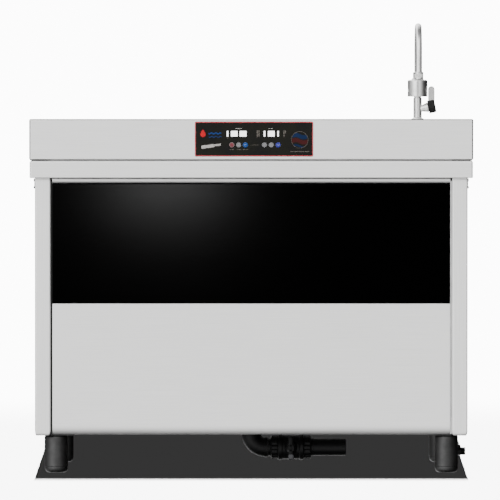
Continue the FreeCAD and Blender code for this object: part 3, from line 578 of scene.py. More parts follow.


# cords close the upright joints between the panels and the posts; the left cord is black and the right one
# grey, painted shade and painted light for light falling from the left
def makeSeals():
    low, high = measured("lower_front_panel")
    top = measured("front_trim_strip")[1].z
    back = measured("rear_panel")[1].y
    inX = measured("corner_posts")[1].x - cabinet["postSide"]
    for name, side, look, front in (("left", -1, "abs", low.y + 6), ("right", 1, "seal", low.y + 1)):
        xa, xb = sorted((side * (high.x + 0.1), side * (inX - 0.1)))
        bm = boxInto(bmesh.new(), (xa, front, low.z + 1), (xb, front + 8, top), 0.8, 2)
        boxInto(bm, (xa, back - 12, low.z + 1), (xb, back - 4, top), 0.8, 2)
        finish("panel_seals_" + name, bm, mats[look], "bench")


def makeSidePanels():
    low, high = measured("side_panels")
    face = measured("corner_posts")[1].x - cabinet["sideInset"]
    inner = measured("frame_rails")[1].x
    latchLow, latchHigh = measured("latch_lever_left")
    latchY, earZ = (latchLow.y + latchHigh.y) / 2, latchHigh.z - cabinet["earDrop"]
    bm = bmesh.new()
    for side in (-1, 1):
        place = (Vector((side * inner, 0, (low.z + high.z) / 2)), yAxis, zAxis, xAxis * side)
        loops = panInto(bm, place, high.y, (high.z - low.z) / 2, face - inner, cabinet["foldRadius"],
                        cabinet["sheet"])
        bm.faces.new(loops[0])
        bm.faces.new(loops[-1])
        reach, thick, tall = cabinet["earSize"]
        for offset in cabinet["earOffsets"]:
            xa, xb = sorted((side * (face - 0.5), side * (face + reach)))
            y = latchY + offset
            boxInto(bm, (xa, y, earZ - tall / 2), (xb, y + thick, earZ + tall / 2), 0.7, 2)
    finish("side_sheets", bm, mats["steelY"], "bench", ["side_panels"])


louvres = {
    "halfLength": 90.0, "halfSlot": 3.0, "pitch": 22.0, "rows": 6, "columns": (-250.0, 250.0),
    "lowest": 563.0, "bulge": 7.0, "hoodRise": 9.0, "hoodDrop": 3.5, "hoodSheet": 1.0,
    "hoodMargin": 5.0, "hoodSteps": (24, 8),
}


def makeRearPanel():
    low, high = measured("rear_panel")
    middle = (low + high) / 2
    place = (Vector((middle.x, low.y, middle.z)), xAxis, zAxis, yAxis)
    bm = bmesh.new()
    loops = panInto(bm, place, (high.x - low.x) / 2, (high.z - low.z) / 2, high.y - low.y,
                    cabinet["foldRadius"], cabinet["sheet"])
    slots = [(x, louvres["lowest"] + row * louvres["pitch"]) for x in louvres["columns"]
             for row in range(louvres["rows"])]
    edges = [[[bm.verts.new((x + a, y, z + b)) for a, b in outline(louvres["halfLength"], louvres["halfSlot"],
                                                                  louvres["halfSlot"] - 0.2)]
              for y in (high.y - cabinet["sheet"], high.y)] for x, z in slots]
    for inside, outside in edges:
        bridge(bm, inside, outside)
    fillWithHoles(bm, [loops[0]] + [pair[0] for pair in edges])
    fillWithHoles(bm, [loops[-1]] + [pair[1] for pair in edges])
    finish("rear_sheet", bm, mats["steelX"], "bench", ["rear_panel"])

    bm = bmesh.new()  # each slot has a hood pressed out over it, open underneath
    across, down = louvres["hoodSteps"]
    for x, z in slots:
        grid = []
        for i in range(across + 1):
            u = -1 + 2 * i / across
            u = math.copysign(abs(u) ** 0.6, u)
            bulge = louvres["bulge"] * max(1 - abs(u) ** 10, 0.0) ** 0.5
            grid.append([bm.verts.new((x + u * (louvres["halfLength"] + louvres["hoodMargin"]),
                                       high.y + 0.05 + bulge * math.sin(math.pi / 2 * k / down),
                                       z + louvres["hoodRise"] - (louvres["hoodRise"] + louvres["hoodDrop"])
                                       * (1 - math.cos(math.pi / 2 * k / down)) ** 0.8))
                         for k in range(down + 1)])
        for left, right in zip(grid, grid[1:]):
            for k in range(down):
                corners = (left[k], left[k + 1], right[k + 1], right[k])
                bm.faces.new(corners)
    bmesh.ops.remove_doubles(bm, verts=bm.verts, dist=0.001)
    hoods = finish("rear_louvre_hoods", bm, mats["steelX"], "bench", sharp=60)
    wall = hoods.modifiers.new("sheet", "SOLIDIFY")
    wall.thickness = louvres["hoodSheet"] / 1000
    wall.offset = 0.0


deckWork = {
    "corner": 5.0, "topFold": 4.0, "lowFold": 2.5, "return": 25.0, "sheet": 2.0,
    "openingCorner": 25.0,
    "apronTopFold": 6.0, "apronLowFold": 2.5, "apronFlange": 45.0,
    "beadRadius": 1.3, "beadPitch": 5.0,
    "basketClear": 20.0, "gap": 2.0, "shadeFillerDepth": 16.0, "shadeFillerInset": 2.0, "shadeFillerPlay": 0.1,
}


def foldOut(halfX, halfY, corner, radius, edge, start, stop):
    for inward, height in quarter(radius, edge, radius, start, stop, 6):
        yield halfX - inward, halfY - inward, max(corner - inward, 0.4), height


def makeDeck():
    low, high = measured("deck")
    openX, openY = (v + deckWork["basketClear"] for v in measured("basket")[1].xy)
    hx, hy, c, t = high.x, high.y, deckWork["corner"], deckWork["sheet"]
    back = deckWork["return"]
    rings = [(openX, openY, deckWork["openingCorner"], high.z - t),
             (openX, openY, deckWork["openingCorner"], high.z - 0.8),
             (openX + 0.8, openY + 0.8, deckWork["openingCorner"] + 0.8, high.z)]
    rings += foldOut(hx, hy, c, deckWork["topFold"], high.z - deckWork["topFold"], 90, 180)
    rings += foldOut(hx, hy, c, deckWork["lowFold"], low.z + deckWork["lowFold"], 180, 270)
    rings += [(hx - back, hy - back, 0.5, low.z), (hx - back, hy - back, 0.5, low.z + t),
              (hx - t, hy - t, c - t, low.z + t), (hx - t, hy - t, c - t, high.z - t)]
    bm = bmesh.new()
    ringsInto(bm, rings, closed=True)
    deck = finish("deck_sheet", bm, mats["steelX"], "bench", ["deck"])
    deck.data.materials.append(mats["bend"])
    for face in deck.data.polygons:  # the outer bends get a darker copy of the sheet steel: painted shade for the dark line along the deck's edges
        outside = abs(face.center.x) > (hx - 8) / 1000 or abs(face.center.y) > (hy - 8) / 1000
        if outside and max(abs(v) for v in face.normal) < 0.97 and face.center.z > (low.z + 5) / 1000:
            face.material_index = 1

    bm = bmesh.new()  # black fillers over each post: dark pieces standing in for the shade in the gap
    inX = measured("corner_posts")[1].x - cabinet["postSide"]
    inset, play = deckWork["shadeFillerInset"], deckWork["shadeFillerPlay"]
    for sx in (-1, 1):
        for sy in (-1, 1):
            xa, xb = sorted((sx * inX, sx * (hx - inset)))
            ya, yb = sorted((sy * (hy - deckWork["shadeFillerDepth"]), sy * (hy - inset)))
            boxInto(bm, (xa, ya, low.z - deckWork["gap"] + play), (xb, yb, low.z - play), 0.3, 1)
    finish("gap_packers", bm, mats["abs"], "bench")

    bm = bmesh.new()  # the bead that joins the tank's rim to the deck
    around = []
    corners = list(outline(openX - 0.6, openY - 0.6, deckWork["openingCorner"], 8))
    for (xa, ya), (xb, yb) in zip(corners, corners[1:] + corners[:1]):
        length = math.hypot(xb - xa, yb - ya)
        pieces = max(1, round(length / deckWork["beadPitch"] * 2))
        around += [(xa + (xb - xa) * k / pieces, ya + (yb - ya) * k / pieces, high.z - t - 0.4)
                   for k in range(pieces)]
    tubeInto(bm, around, deckWork["beadRadius"], 6, cyclic=True, ripple=lambda i: 1.0 if i % 2 else 0.82)
    finish("tank_rim_weld", bm, mats["weld"], "bench", sharp=80)


def makeApron():
    low, high = measured("apron_ring")
    post = measured("corner_posts")[1]
    hx, hy, c, t = high.x, high.y, deckWork["corner"], deckWork["sheet"]
    rings = [(post.x, post.y, 0.4, low.z + t), (post.x, post.y, 0.4, low.z)]
    rings += reversed(list(foldOut(hx, hy, c, deckWork["apronLowFold"], low.z + deckWork["apronLowFold"],
                                   180, 270)))
    rings += reversed(list(foldOut(hx, hy, c, deckWork["apronTopFold"], high.z - deckWork["apronTopFold"],
                                   90, 180)))
    flange = deckWork["apronFlange"]
    rings += [(hx - flange, hy - flange, 0.5, high.z), (hx - flange, hy - flange, 0.5, high.z - t),
              (hx - deckWork["apronTopFold"] - 1, hy - deckWork["apronTopFold"] - 1, c - t, high.z - t),
              (hx - t, hy - t, c - t, high.z - deckWork["apronTopFold"] - 1),
              (hx - t, hy - t, c - t, low.z + t)]
    bm = bmesh.new()
    ringsInto(bm, rings, closed=True)
    finish("apron_sheet", bm, mats["steelX"], "bench", ["apron_ring"])


for make in (makePosts, makeFrontPanels, makeSeals, makeSidePanels, makeRearPanel, makeDeck, makeApron):
    make()
print("cabinet and deck done")


# --- tank and basket
tankWork = {"wall": 2.0, "rim": 15.0, "corner": 25.0, "floorRadius": 14.0}
basketWork = {
    "rodRadius": 4.0, "wireRadius": 1.4, "clear": 1.5, "pitch": 20.0, "bend": 14.0,
    "handleHalf": 60.0, "handleRise": 24.0, "handleTail": 20.0, "rodBend": 12.0,
    "legHeight": 50.0,  # its floor stands this far above the tank's
    "footReach": 40.0, "footHalf": 22.0,
    "corner": 25.0, "wireCorner": 22.0, "uprightInset": 8.0,
}


def makeTank():
    low, high = measured("tank")
    wall, rim, r, c = (tankWork[k] for k in ("wall", "rim", "floorRadius", "corner"))
    hx, hy = high.x - rim, high.y - rim
    floor = low.z + wall
    rings = [(hx - inward, hy - inward, max(c - inward, 2.0), height)
             for inward, height in quarter(r, floor + r, r, 270, 180)]
    rings += [(hx, hy, c, high.z - 1.5), (hx + 1.5, hy + 1.5, c + 1.5, high.z),
              (high.x, high.y, c + rim, high.z), (high.x, high.y, c + rim, high.z - wall),
              (hx + wall, hy + wall, c + wall, high.z - wall)]
    rings += [(hx + wall - inward, hy + wall - inward, max(c + wall - inward, 2.0), height)
              for inward, height in quarter(r, low.z + r, r, 180, 270)]
    bm = bmesh.new()
    ringsInto(bm, rings, caps=(True, True))
    finish("tank_shell", bm, mats["tank"], "bench", ["tank"])


def makeBasket():
    low, high = measured("basket")
    rod, wire, clear = basketWork["rodRadius"], basketWork["wireRadius"], basketWork["clear"]
    footTop = low.z + basketWork["legHeight"]
    rimZ = high.z - basketWork["handleRise"] - rod
    hx, hy = high.x - rod, high.y - rod
    bm = bmesh.new()
    for z, radius, inset in ((rimZ, rod, 0.0), (footTop + rod, rod * 0.8, 1.0)):
        loop = [(x, y, z) for x, y in outline(hx - inset, hy - inset, basketWork["corner"])]
        tubeInto(bm, loop, radius, 12, cyclic=True)
    for sx in (-1, 1):
        for sy in (-1, 1):
            x, y = sx * (hx - basketWork["uprightInset"]), sy * (hy - basketWork["uprightInset"])
            tubeInto(bm, [(x, y, footTop + rod), (x, y, rimZ)], rod * 0.8, 10)
            fx, fy = sx * (hx - basketWork["footReach"]), sy * (hy - basketWork["footReach"])
            half = basketWork["footHalf"]
            foot = [(fx - half, fy, footTop + rod), (fx - half, fy, low.z + rod),
                    (fx + half, fy, low.z + rod), (fx + half, fy, footTop + rod)]
            tubeInto(bm, bentPath(foot, basketWork["rodBend"], 6), rod, 12)
        x = sx * (hx - rod)
        half = basketWork["handleHalf"]
        tail = rimZ - basketWork["handleTail"]
        handle = [(x, -half, tail), (x, -half, high.z - rod), (x, half, high.z - rod), (x, half, tail)]
        tubeInto(bm, bentPath(handle, basketWork["rodBend"], 8), rod, 14)
    finish("basket_frame", bm, mats["tank"], "basket_body", ["basket"], sharp=60)

    bm = bmesh.new()  # the mesh: wires bent down one wall, along the floor and up the other
    inX, inY, bend = hx - rod - clear, hy - rod - clear, basketWork["bend"]
    floor = footTop + 2 * rod
    countX, countY = int(2 * inX / basketWork["pitch"]), int(2 * inY / basketWork["pitch"])
    for i in range(1, countX):
        x = -inX + 2 * inX * i / countX
        wirePath = [(x, -inY, rimZ), (x, -inY, floor), (x, inY, floor), (x, inY, rimZ)]
        tubeInto(bm, bentPath(wirePath, bend, 4), wire, 6)
    for i in range(1, countY):
        y = -inY + 2 * inY * i / countY
        level = floor + 2 * wire
        wirePath = [(-inX, y, rimZ), (-inX, y, level), (inX, y, level), (inX, y, rimZ)]
        tubeInto(bm, bentPath(wirePath, bend, 4), wire, 6)
    levels = int((rimZ - floor - bend) / basketWork["pitch"])
    for i in range(levels):
        z = floor + bend + (i + 0.5) * basketWork["pitch"]
        loop = [(x, y, z) for x, y in outline(inX - 2 * wire, inY - 2 * wire, basketWork["wireCorner"])]
        tubeInto(bm, loop, wire, 6, cyclic=True)
    finish("basket_wires", bm, mats["tank"], "basket_body", sharp=60)


makeTank()
makeBasket()
print("tank and basket done")


# --- feet
footWork = {
    "legRadius": 30.0, "legWall": 3.0, "shoulder": 6.0, "tipRadius": 20.0, "seam": 0.5,
    "sleeveFloor": 9.0, "screwRadius": 8.0, "screwPlay": 0.1, "threadPitch": 2.0, "threadDepth": 0.7,
    "plateSide": 80.0, "plateHeight": 6.0,
}


def makeFeet():
    r, t = footWork["legRadius"], footWork["legWall"]
    low, high = measured("leg_sleeves")
    rail, post = measured("frame_rails")[1], measured("corner_posts")[1]
    plateZ = high.z - footWork["plateHeight"]
    notchX, notchY = post.x - cabinet["postSide"], post.y - cabinet["postSide"]
    side, shoulder = footWork["plateSide"], footWork["shoulder"]
    screw, tip = footWork["screwRadius"], footWork["tipRadius"]
    bore, inside = screw + footWork["screwPlay"], low.z + footWork["sleeveFloor"]
    bm = bmesh.new()
    for name in ("front_left", "front_right", "rear_left", "rear_right"):
        footLow, footHigh = measured("bullet_foot_" + name)
        centre = (footLow + footHigh) / 2
        sx, sy = math.copysign(1, centre.x), math.copysign(1, centre.y)
        corner = [(rail.x - side, rail.y - side), (rail.x, rail.y - side), (rail.x, notchY),
                  (notchX, notchY), (notchX, rail.y), (rail.x - side, rail.y)]
        place = (Vector((0, 0, plateZ)), xAxis * sx, yAxis * sy, zAxis)
        plateInto(bm, place, [corner], footWork["plateHeight"])
        sleeve = [(r - t, inside), (bore, inside), (bore, low.z), (r - 0.8, low.z), (r, low.z + 0.8)]
        sleeve += [(r - shoulder + a, h) for a, h in quarter(0, plateZ - shoulder, shoulder, 0, 90)]
        sleeve += [(r - shoulder - 1, plateZ), (r - t - 3, plateZ - 1), (r - t, inside)]
        latheInto(bm, sleeve, (centre.x, centre.y, 0), steps=72)
        foot = bmesh.new()
        top = low.z
        profile = [(0, 0.8), (tip - 4, 0.8), (tip - 3, 0.0), (tip, 0.0)]
        profile += [(tip + (r - tip) * math.sin(a), top * (1 - math.cos(a)))
                    for a in (math.radians(d) for d in range(10, 90, 8))]
        profile += [(r, top - 1.0), (r - footWork["seam"], top - 0.1), (screw, top - 0.1)]
        turns = int((footHigh.z - top - 2) / footWork["threadPitch"])
        for i in range(turns):
            z = top + i * footWork["threadPitch"]
            profile += [(screw - footWork["threadDepth"], z + 0.5), (screw, z + 1.2), (screw, z + 1.6)]
        profile += [(screw - 1, footHigh.z), (0, footHigh.z)]
        latheInto(foot, profile, (centre.x, centre.y, 0), steps=72)
        finish("foot_" + name, foot, mats["foot"], "foot_" + name, ["bullet_foot_" + name])
    legs = finish("leg_sleeve_tubes", bm, mats["foot"], "bench", ["leg_sleeves"])
    soften(legs, 0.4)


makeFeet()
print("feet done")


# --- control panel: prints are (left, right, top, bottom) from the plate's upper left corner
controls = {
    "plateCorner": 3.0, "plateChamfer": 0.5, "print": 0.12, "borderInset": 0.3, "borderWidth": 1.1,
    "keyRadius": 6.5, "keyHole": 6.8,
    "windowCorner": 0.7, "bezel": 0.5, "windowInset": (1.3, 0.9), "wideWindow": 10.0,  # narrow, wide
    "labels": {
        "Grey": [(103.5, 107, 16.6, 18.2), (108, 114, 16.6, 18.2), (115, 119.5, 16.6, 18.2),
                 (187, 191, 16.6, 18), (192, 197, 16.6, 18)],
        "Faint": [(80, 86, 40.4, 41.6), (88, 92, 69.6, 70.9), (93, 98.6, 69.6, 70.9),
                  (106, 109, 69.6, 70.9), (110, 117.4, 69.6, 70.9), (122, 129, 69.6, 70.9),
                  (130, 134.5, 69.6, 70.9), (142, 163, 58.6, 59.3),
                  (157, 159.6, 22, 30), (157, 159.6, 31, 39), (161.4, 164, 22, 27), (161.4, 164, 28, 38),
                  (225, 227.2, 22, 32), (225, 227.2, 33, 38), (228.6, 230.6, 22, 29),
                  (242, 250, 75, 76.4), (251, 262, 75, 76.4), (263, 277, 75, 76.4), (278, 290, 75, 76.4)],
    },
    "droplet": (20.5, 32.0, 9.5),  # a plain drop with two waves beside it: centre and radius
    "waves": ((34, 67, 28.0, 3.4), (35, 67, 37.5, 1.6)),  # left, right, height and line width
    "rod": ((33.0, 62.5, 33.0, 8.0), (57.0, 59.0, 18.0, 5.0)),  # a slanted horn: centre, length, width
    "rodSlant": 8.0,
    "badge": (266.0, 46.0, 21.5),
}
keys = {
    "heat_stop": ("keyMauve", "keyRed", None, "button_red"),
    "heat_up": ("keyGrey", "keyGrey", "up", "button_grey"),
    "heat_start": ("keyBlue", "keyBlue", "dot", "button_blue"),
    "timer_down": ("keyGrey", "keyGrey", None, "button_grey"),
    "timer_up": ("keyGrey", "keyGrey", None, "button_grey"),
    "timer_start": ("keyViolet", "keyViolet", "bar", "button_blue"),
}


def ripple(left, right, level, width, height=1.4, count=24, waves=3.0):
    top = [(left + (right - left) * i / count, level + height * math.sin(2 * math.pi * waves * i / count))
           for i in range(count + 1)]
    return top + [(x, y + width) for x, y in reversed(top)]


def drop(x, y, radius, count=28):
    points = []
    for i in range(count):
        a = 2 * math.pi * i / count
        stretch = 1 + 0.75 * max(0.0, -math.sin(a)) ** 5
        points.append((x + radius * 0.72 * math.cos(a), y + radius * 0.72 * math.sin(a) * stretch))
    return points


def turnedBar(x, y, length, width, degrees):
    c, s = math.cos(math.radians(degrees)), -math.sin(math.radians(degrees))
    return [(x + a * c - b * s, y + a * s + b * c) for a, b in outline(length / 2, width / 2, 1.2, 3)]


# the badge's bands: waves cut by a circle
def band(x, y, radius, low, high, count=30):
    upper, lower = [], []
    for i in range(count + 1):
        a = -0.98 * radius + 1.96 * radius * i / count
        limit = math.sqrt(radius ** 2 - a * a)
        sway = 3.0 * math.sin(a / radius * 3.0)
        top = max(-limit, min(limit, low + sway))
        bottom = max(-limit, min(limit, high + sway))
        if bottom - top > 0.3:
            upper.append((x + a, y + top))
            lower.append((x + a, y + bottom))
    return upper + lower[::-1]


def makeControlPanel():
    windowLow, windowHigh = measured("display_windows")
    plateLow, plateHigh = measured("control_panel")
    front, back = windowLow.y, measured("deck")[0].y
    middle = Vector(((plateLow.x + plateHigh.x) / 2, 0, (plateLow.z + plateHigh.z) / 2))
    halfW, halfH = (plateHigh.x - plateLow.x) / 2, (plateHigh.z - plateLow.z) / 2
    keyCentres = {name: sum(measured("button_" + name), Vector()) / 2 for name in keys}

    def loop(points, y, bm):
        return [bm.verts.new((middle.x + a, y, middle.z + b)) for a, b in points]

    chamfer, c = controls["plateChamfer"], controls["plateCorner"]
    bm = bmesh.new()
    edges = [loop(outline(halfW, halfH, c), back, bm), loop(outline(halfW, halfH, c), front + chamfer, bm),
             loop(outline(halfW - chamfer, halfH - chamfer, c - chamfer), front, bm)]
    bridge(bm, edges[0], edges[1])
    bridge(bm, edges[1], edges[2])
    holes = []
    for centre in keyCentres.values():
        ring = circle(controls["keyHole"], 40, (centre.x - middle.x, centre.z - middle.z))
        holes.append((loop(ring, back, bm), loop(ring, front, bm)))
        bridge(bm, *holes[-1])
    fillWithHoles(bm, [edges[0]] + [pair[0] for pair in holes])
    fillWithHoles(bm, [edges[2]] + [pair[1] for pair in holes])
    finish("control_plate", bm, mats["overlay"], "bench", ["control_panel"])

    corner = Vector((plateLow.x, front, plateHigh.z))
    place = (corner, xAxis, -zAxis, -yAxis)
    thick = controls["print"]

    def printed(name, look, shapes):
        bm = bmesh.new()
        for loops in shapes:
            plateInto(bm, place, loops, thick)
        finish(name, bm, mats[look], "bench")

    def framed(inset, width, radius):
        rows = []
        for extra in (inset, inset + width):
            rows.append([(halfW + a, halfH + b) for a, b in outline(halfW - extra, halfH - extra,
                                                                   max(radius - extra, 0.5))])
        return rows

    printed("print_border", "printRed", [framed(chamfer + controls["borderInset"], controls["borderWidth"],
                                                c)])
    for tone, bars in controls["labels"].items():
        printed("print_labels_" + tone.lower(), "print" + tone,
                [[[((a + b) / 2 + u, (t + d) / 2 + v)
                   for u, v in outline((b - a) / 2, (d - t) / 2, min(0.5, (d - t) / 2.2), 2)]]
                 for a, b, t, d in bars])
    printed("print_drop", "printBright", [[drop(*controls["droplet"])]])
    printed("print_waves", "printBlue", [[ripple(*wave)] for wave in controls["waves"]])
    printed("print_horn", "printGrey", [[turnedBar(*bar, controls["rodSlant"])] for bar in controls["rod"]])
    x, y, radius = controls["badge"]
    rim = [circle(radius, 48, (x, y)), circle(radius - 0.7, 48, (x, y))]
    printed("print_badge_ring", "printFaint", [rim])
    printed("print_badge_blue", "printNavy", [[band(x, y, radius - 1.2, -15.0, -4.0)],
                                              [band(x, y, radius - 1.2, 14.0, 18.5)]])
    printed("print_badge_red", "printBrown", [[band(x, y, radius - 1.2, -2.0, 9.0)]])

    bm = bmesh.new()
    bezels = bmesh.new()
    level, halfTall = (windowLow.z + windowHigh.z) / 2, (windowHigh.z - windowLow.z) / 2
    r, e = controls["windowCorner"], controls["bezel"]
    for start, width in displaySpans():
        pane = (Vector((start + width / 2, front + 1.4, level)), xAxis, zAxis, -yAxis)
        rings = [(width / 2, halfTall, r, 0.0), (width / 2, halfTall, r, 1.3),
                 (width / 2 - 0.4, halfTall - 0.4, r - 0.4, 1.5)]
        ringsInto(bm, rings, pane, caps=(True, True))
        rings = [(width / 2, halfTall, r, 1.2), (width / 2 + e, halfTall + e, r + e, 1.2),
                 (width / 2 + e, halfTall + e, r + e, 1.6), (width / 2 + 0.2, halfTall + 0.2, r + 0.2, 1.75)]
        ringsInto(bezels, rings, pane, closed=True)
    finish("display_lenses", bm, mats["window"], "bench", ["display_windows"])
    finish("display_bezels", bezels, mats["overlay"], "bench")
    makeKeys(keyCentres, back)


# each window's left edge and width, read from the CAD node's own corners
def displaySpans():
    xs = sorted({round(v.co.x * 1000, 2) for v in nodes["display_windows"].data.vertices})
    spans = []
    for a, b in zip(xs[::2], xs[1::2]):
        inset = controls["windowInset"][b - a > controls["wideWindow"]]
        spans.append((a + inset, b - a - 2 * inset))
    return spans


def makeKeys(centres, back):
    marks = {"up": [(-2.2, -1.4), (2.2, -1.4), (0, 2.2)],
             "dot": circle(1.9, 24),
             "bar": list(outline(2.3, 0.9, 0.8, 4))}
    for name, (ringLook, domeLook, mark, slotName) in keys.items():
        centre = Vector((centres[name].x, back, centres[name].z))
        low = measured("button_" + name)[0].y
        r, tall = controls["keyRadius"], back - low
        bm = latheInto(bmesh.new(), [(0, 0), (r, 0), (r, tall - 0.9), (r - 0.3, tall - 0.3), (r - 0.9, tall),
                                     (r - 1.4, tall - 0.1), (r - 1.7, tall - 0.7), (0, tall - 0.7)],
                       centre, -yAxis, 56)
        finish(f"key_{name}_ring", bm, mats[ringLook], "key_" + name, ["button_" + name])
        dome = [(0, tall - 0.75), (r - 1.8, tall - 0.75)]
        dome += [((r - 1.8) * math.cos(a), tall - 0.65 + 0.65 * math.sin(a))
                 for a in (math.radians(d) for d in range(0, 90, 15))]
        bm = latheInto(bmesh.new(), dome + [(0, tall)], centre, -yAxis, 48)
        finish(f"key_{name}_dome", bm, mats[domeLook], "key_" + name)
        if mark:
            place = (centre - yAxis * (tall - 0.35), xAxis, zAxis, -yAxis)
            bm = plateInto(bmesh.new(), place, [marks[mark]], 0.3)
            finish(f"key_{name}_mark", bm, mats["keyWhite"], "key_" + name)


makeControlPanel()
print("control panel done")


# --- tap
tapWork = {
    "spout": 8.5, "bend": 70.0,
    "pillar": 11.0, "flange": 16.0, "flangeHeight": 2.5, "shank": 10.0,
    "barrel": 26.0, "barrelHeight": 44.0, "barrelFold": 4.0, "undercut": 13.5,
    "collar": 12.0, "skirt": 17.0,
    "tilt": 12.0, "coneStart": 5.5, "coneEnd": 12.5, "coneLength": 28.0, "coneRise": 25.5,
    "cap": 17.0, "capLength": 19.0, "capGap": 0.5, "capRibs": 28,
    "knurl": 40, "gauze": (6.9, 1.2, 0.25),  # radius, pitch and wire of the gauze
}


def makeTap():
    w = tapWork
    low, high = measured("tap_pillar")
    deckTop = measured("deck")[1].z
    barrelLow, barrelHigh = measured("tap_barrel")
    barrelTop = barrelLow.z + w["barrelHeight"]
    axisX, axisY = (barrelLow.x + barrelHigh.x) / 2, (barrelLow.y + barrelHigh.y) / 2
    centre = (axisX, axisY, 0)
    p, f = w["pillar"], w["flange"]
    profile = [(0, low.z), (w["shank"], low.z), (w["shank"], deckTop), (f - 0.6, deckTop), (f, deckTop + 0.6),
               (f - 0.3, deckTop + 1.6), (f - 1.5, deckTop + w["flangeHeight"]), (p + 1.5, deckTop + 2.8),
               (p, deckTop + 4.5), (p, barrelLow.z - 3.5), (p - 1.6, barrelLow.z - 2.6),
               (p - 1.6, barrelLow.z), (0, barrelLow.z)]
    finish("tap_pillar_turned", latheInto(bmesh.new(), profile, centre), mats["tap"], "bench",
           ["tap_pillar"])

    tilt = math.radians(w["tilt"])
    axis = Vector((math.cos(tilt), 0, math.sin(tilt)))
    root = Vector((axisX, axisY, deckTop + w["coneRise"]))
    profile = [(0, 4), (w["coneStart"] + 0.9, 4), (w["coneEnd"] - 0.5, w["coneLength"] - 3.5),
               (w["coneEnd"], w["coneLength"] - 2.8), (w["coneEnd"], w["coneLength"] - 0.5),
               (w["coneEnd"] - 0.5, w["coneLength"]), (0, w["coneLength"])]
    finish("tap_valve_cone", latheInto(bmesh.new(), profile, root, axis), mats["tap"], "bench",
           ["tap_pillar"])

    b, fold = w["barrel"], w["barrelFold"]
    profile = [(0, barrelLow.z), (w["undercut"], barrelLow.z), (w["undercut"], barrelLow.z + 1.5),
               (b - 1.5, barrelLow.z + 1.5), (b - 1.0, barrelLow.z), (b, barrelLow.z + 0.8)]
    for z in (14.0, 18.0):
        level = barrelLow.z + z
        profile += [(b, level - 0.9), (b - 0.5, level - 0.4), (b - 0.5, level + 0.4), (b, level + 0.9)]
    profile += [(b - fold + a, h) for a, h in quarter(0, barrelTop - fold, fold, 0, 90)]
    c, top = w["collar"], barrelHigh.z
    profile += [(w["skirt"], barrelTop), (w["skirt"] - 2.5, barrelTop + 3), (c + 0.2, barrelTop + 6),
                (c, barrelTop + 7), (c, top - 0.8), (c - 0.8, top), (w["spout"] + 0.15, top),
                (w["spout"] + 0.15, top - 6), (0, top - 6)]
    finish("tap_barrel_turned", latheInto(bmesh.new(), profile, centre, steps=96), mats["tap"], "bench",
           ["tap_barrel"])

    neckLow, neckHigh = measured("tap_gooseneck")
    frontY = axisY - 2 * w["bend"]
    level = neckHigh.z - w["spout"]
    end = measured("tap_aerator")[1].z
    path = bentPath([(axisX, axisY, neckLow.z), (axisX, axisY, level), (axisX, frontY, level),
                     (axisX, frontY, end)], w["bend"], 24)
    finish("tap_spout_tube", tubeInto(bmesh.new(), path, w["spout"], 40), mats["tap"], "spout",
           ["tap_gooseneck"], sharp=60)

    aLow, aHigh = measured("tap_aerator")
    r = (aHigh.x - aLow.x) / 2
    profile = [(0, aLow.z + 3), (7.0, aLow.z + 3), (7.4, aLow.z + 0.3), (r - 1.2, aLow.z), (r, aLow.z + 1.2),
               (r, aLow.z + 4), (r, aLow.z + 4.5, 1.0), (r, aLow.z + 14, 1.0), (r, aLow.z + 14.5),
               (r, aHigh.z - 1.2), (r - 1, aHigh.z), (w["spout"] - 0.5, aHigh.z),
               (w["spout"] - 0.5, aHigh.z - 8), (0, aHigh.z - 8)]
    finish("tap_aerator_knurled",
           latheInto(bmesh.new(), profile, (axisX, frontY, 0), steps=240, shape=ribs(w["knurl"], 0.06)),
           mats["tap"], "spout", ["tap_aerator"])
    bm = bmesh.new()  # the gauze in its mouth
    radius, pitch, wire = w["gauze"]
    for i in range(-int(radius / pitch), int(radius / pitch) + 1):
        half = math.sqrt(radius ** 2 - (i * pitch) ** 2)
        for ends in (((-half, i * pitch), (half, i * pitch)), ((i * pitch, -half), (i * pitch, half))):
            tubeInto(bm, [(axisX + a, frontY + d, aLow.z + 2.6) for a, d in ends], wire, 6)
    finish("tap_aerator_gauze", bm, mats["tank"], "spout")

    start = root + axis * (w["coneLength"] + w["capGap"])
    r, length = w["cap"], w["capLength"]
    profile = [(0, 0), (r - 1, 0), (r, 1), (r, 2.5), (r, 3, 1.0), (r, length - 4, 1.0)]
    profile += [(r - 4 + a, h) for a, h in quarter(0, length - 4, 4, 12, 90)]
    profile += [(r - 7, length), (r - 7.5, length - 0.5), (0, length - 0.5)]
    finish("tap_cap_grip",
           latheInto(bmesh.new(), profile, start, axis, 168, ribs(w["capRibs"], 0.035)),
           mats["abs"], "tap_handle", ["tap_lever_cap"])

    low, high = measured("tap_lever")
    half = (high.x - low.x) / 2
    mid = (low + high) / 2
    blade = [(-half, low.z), (half, low.z)]
    blade += [(half * math.cos(a), high.z - half + half * math.sin(a))
              for a in (math.radians(d) for d in range(0, 181, 12))]
    place = (Vector((mid.x, low.y, 0)), xAxis, zAxis, yAxis)
    lever = finish("tap_lever_blade", plateInto(bmesh.new(), place, [blade], high.y - low.y), mats["tap"],
                   "tap_handle", ["tap_lever"])
    soften(lever, 1.6, 4)


makeTap()
print("tap done")


# --- drain line
drainWork = {
    "elbow": 24.5, "elbowBend": 36.0, "elbowBead": 1.5, "neck": 22.3,
    "nut": 30.0, "nutRibs": 12, "nutRibDepth": 0.07,
    "valve": 33.0, "valveWaist": 31.0, "boss": 13.0,
    "pipe": 22.0, "bore": 18.5,
    "handleHalf": 7.0, "handleCorner": 5.0,
    "hub": [(0, 0), (12, 0), (12, 9), (10.5, 13), (8.6, 16.0), (4.2, 16.0), (3.8, 15.2), (0, 15.2)],
    "gripStart": 15.0, "gripPitch": 3.6, "gripRibs": 4,
}


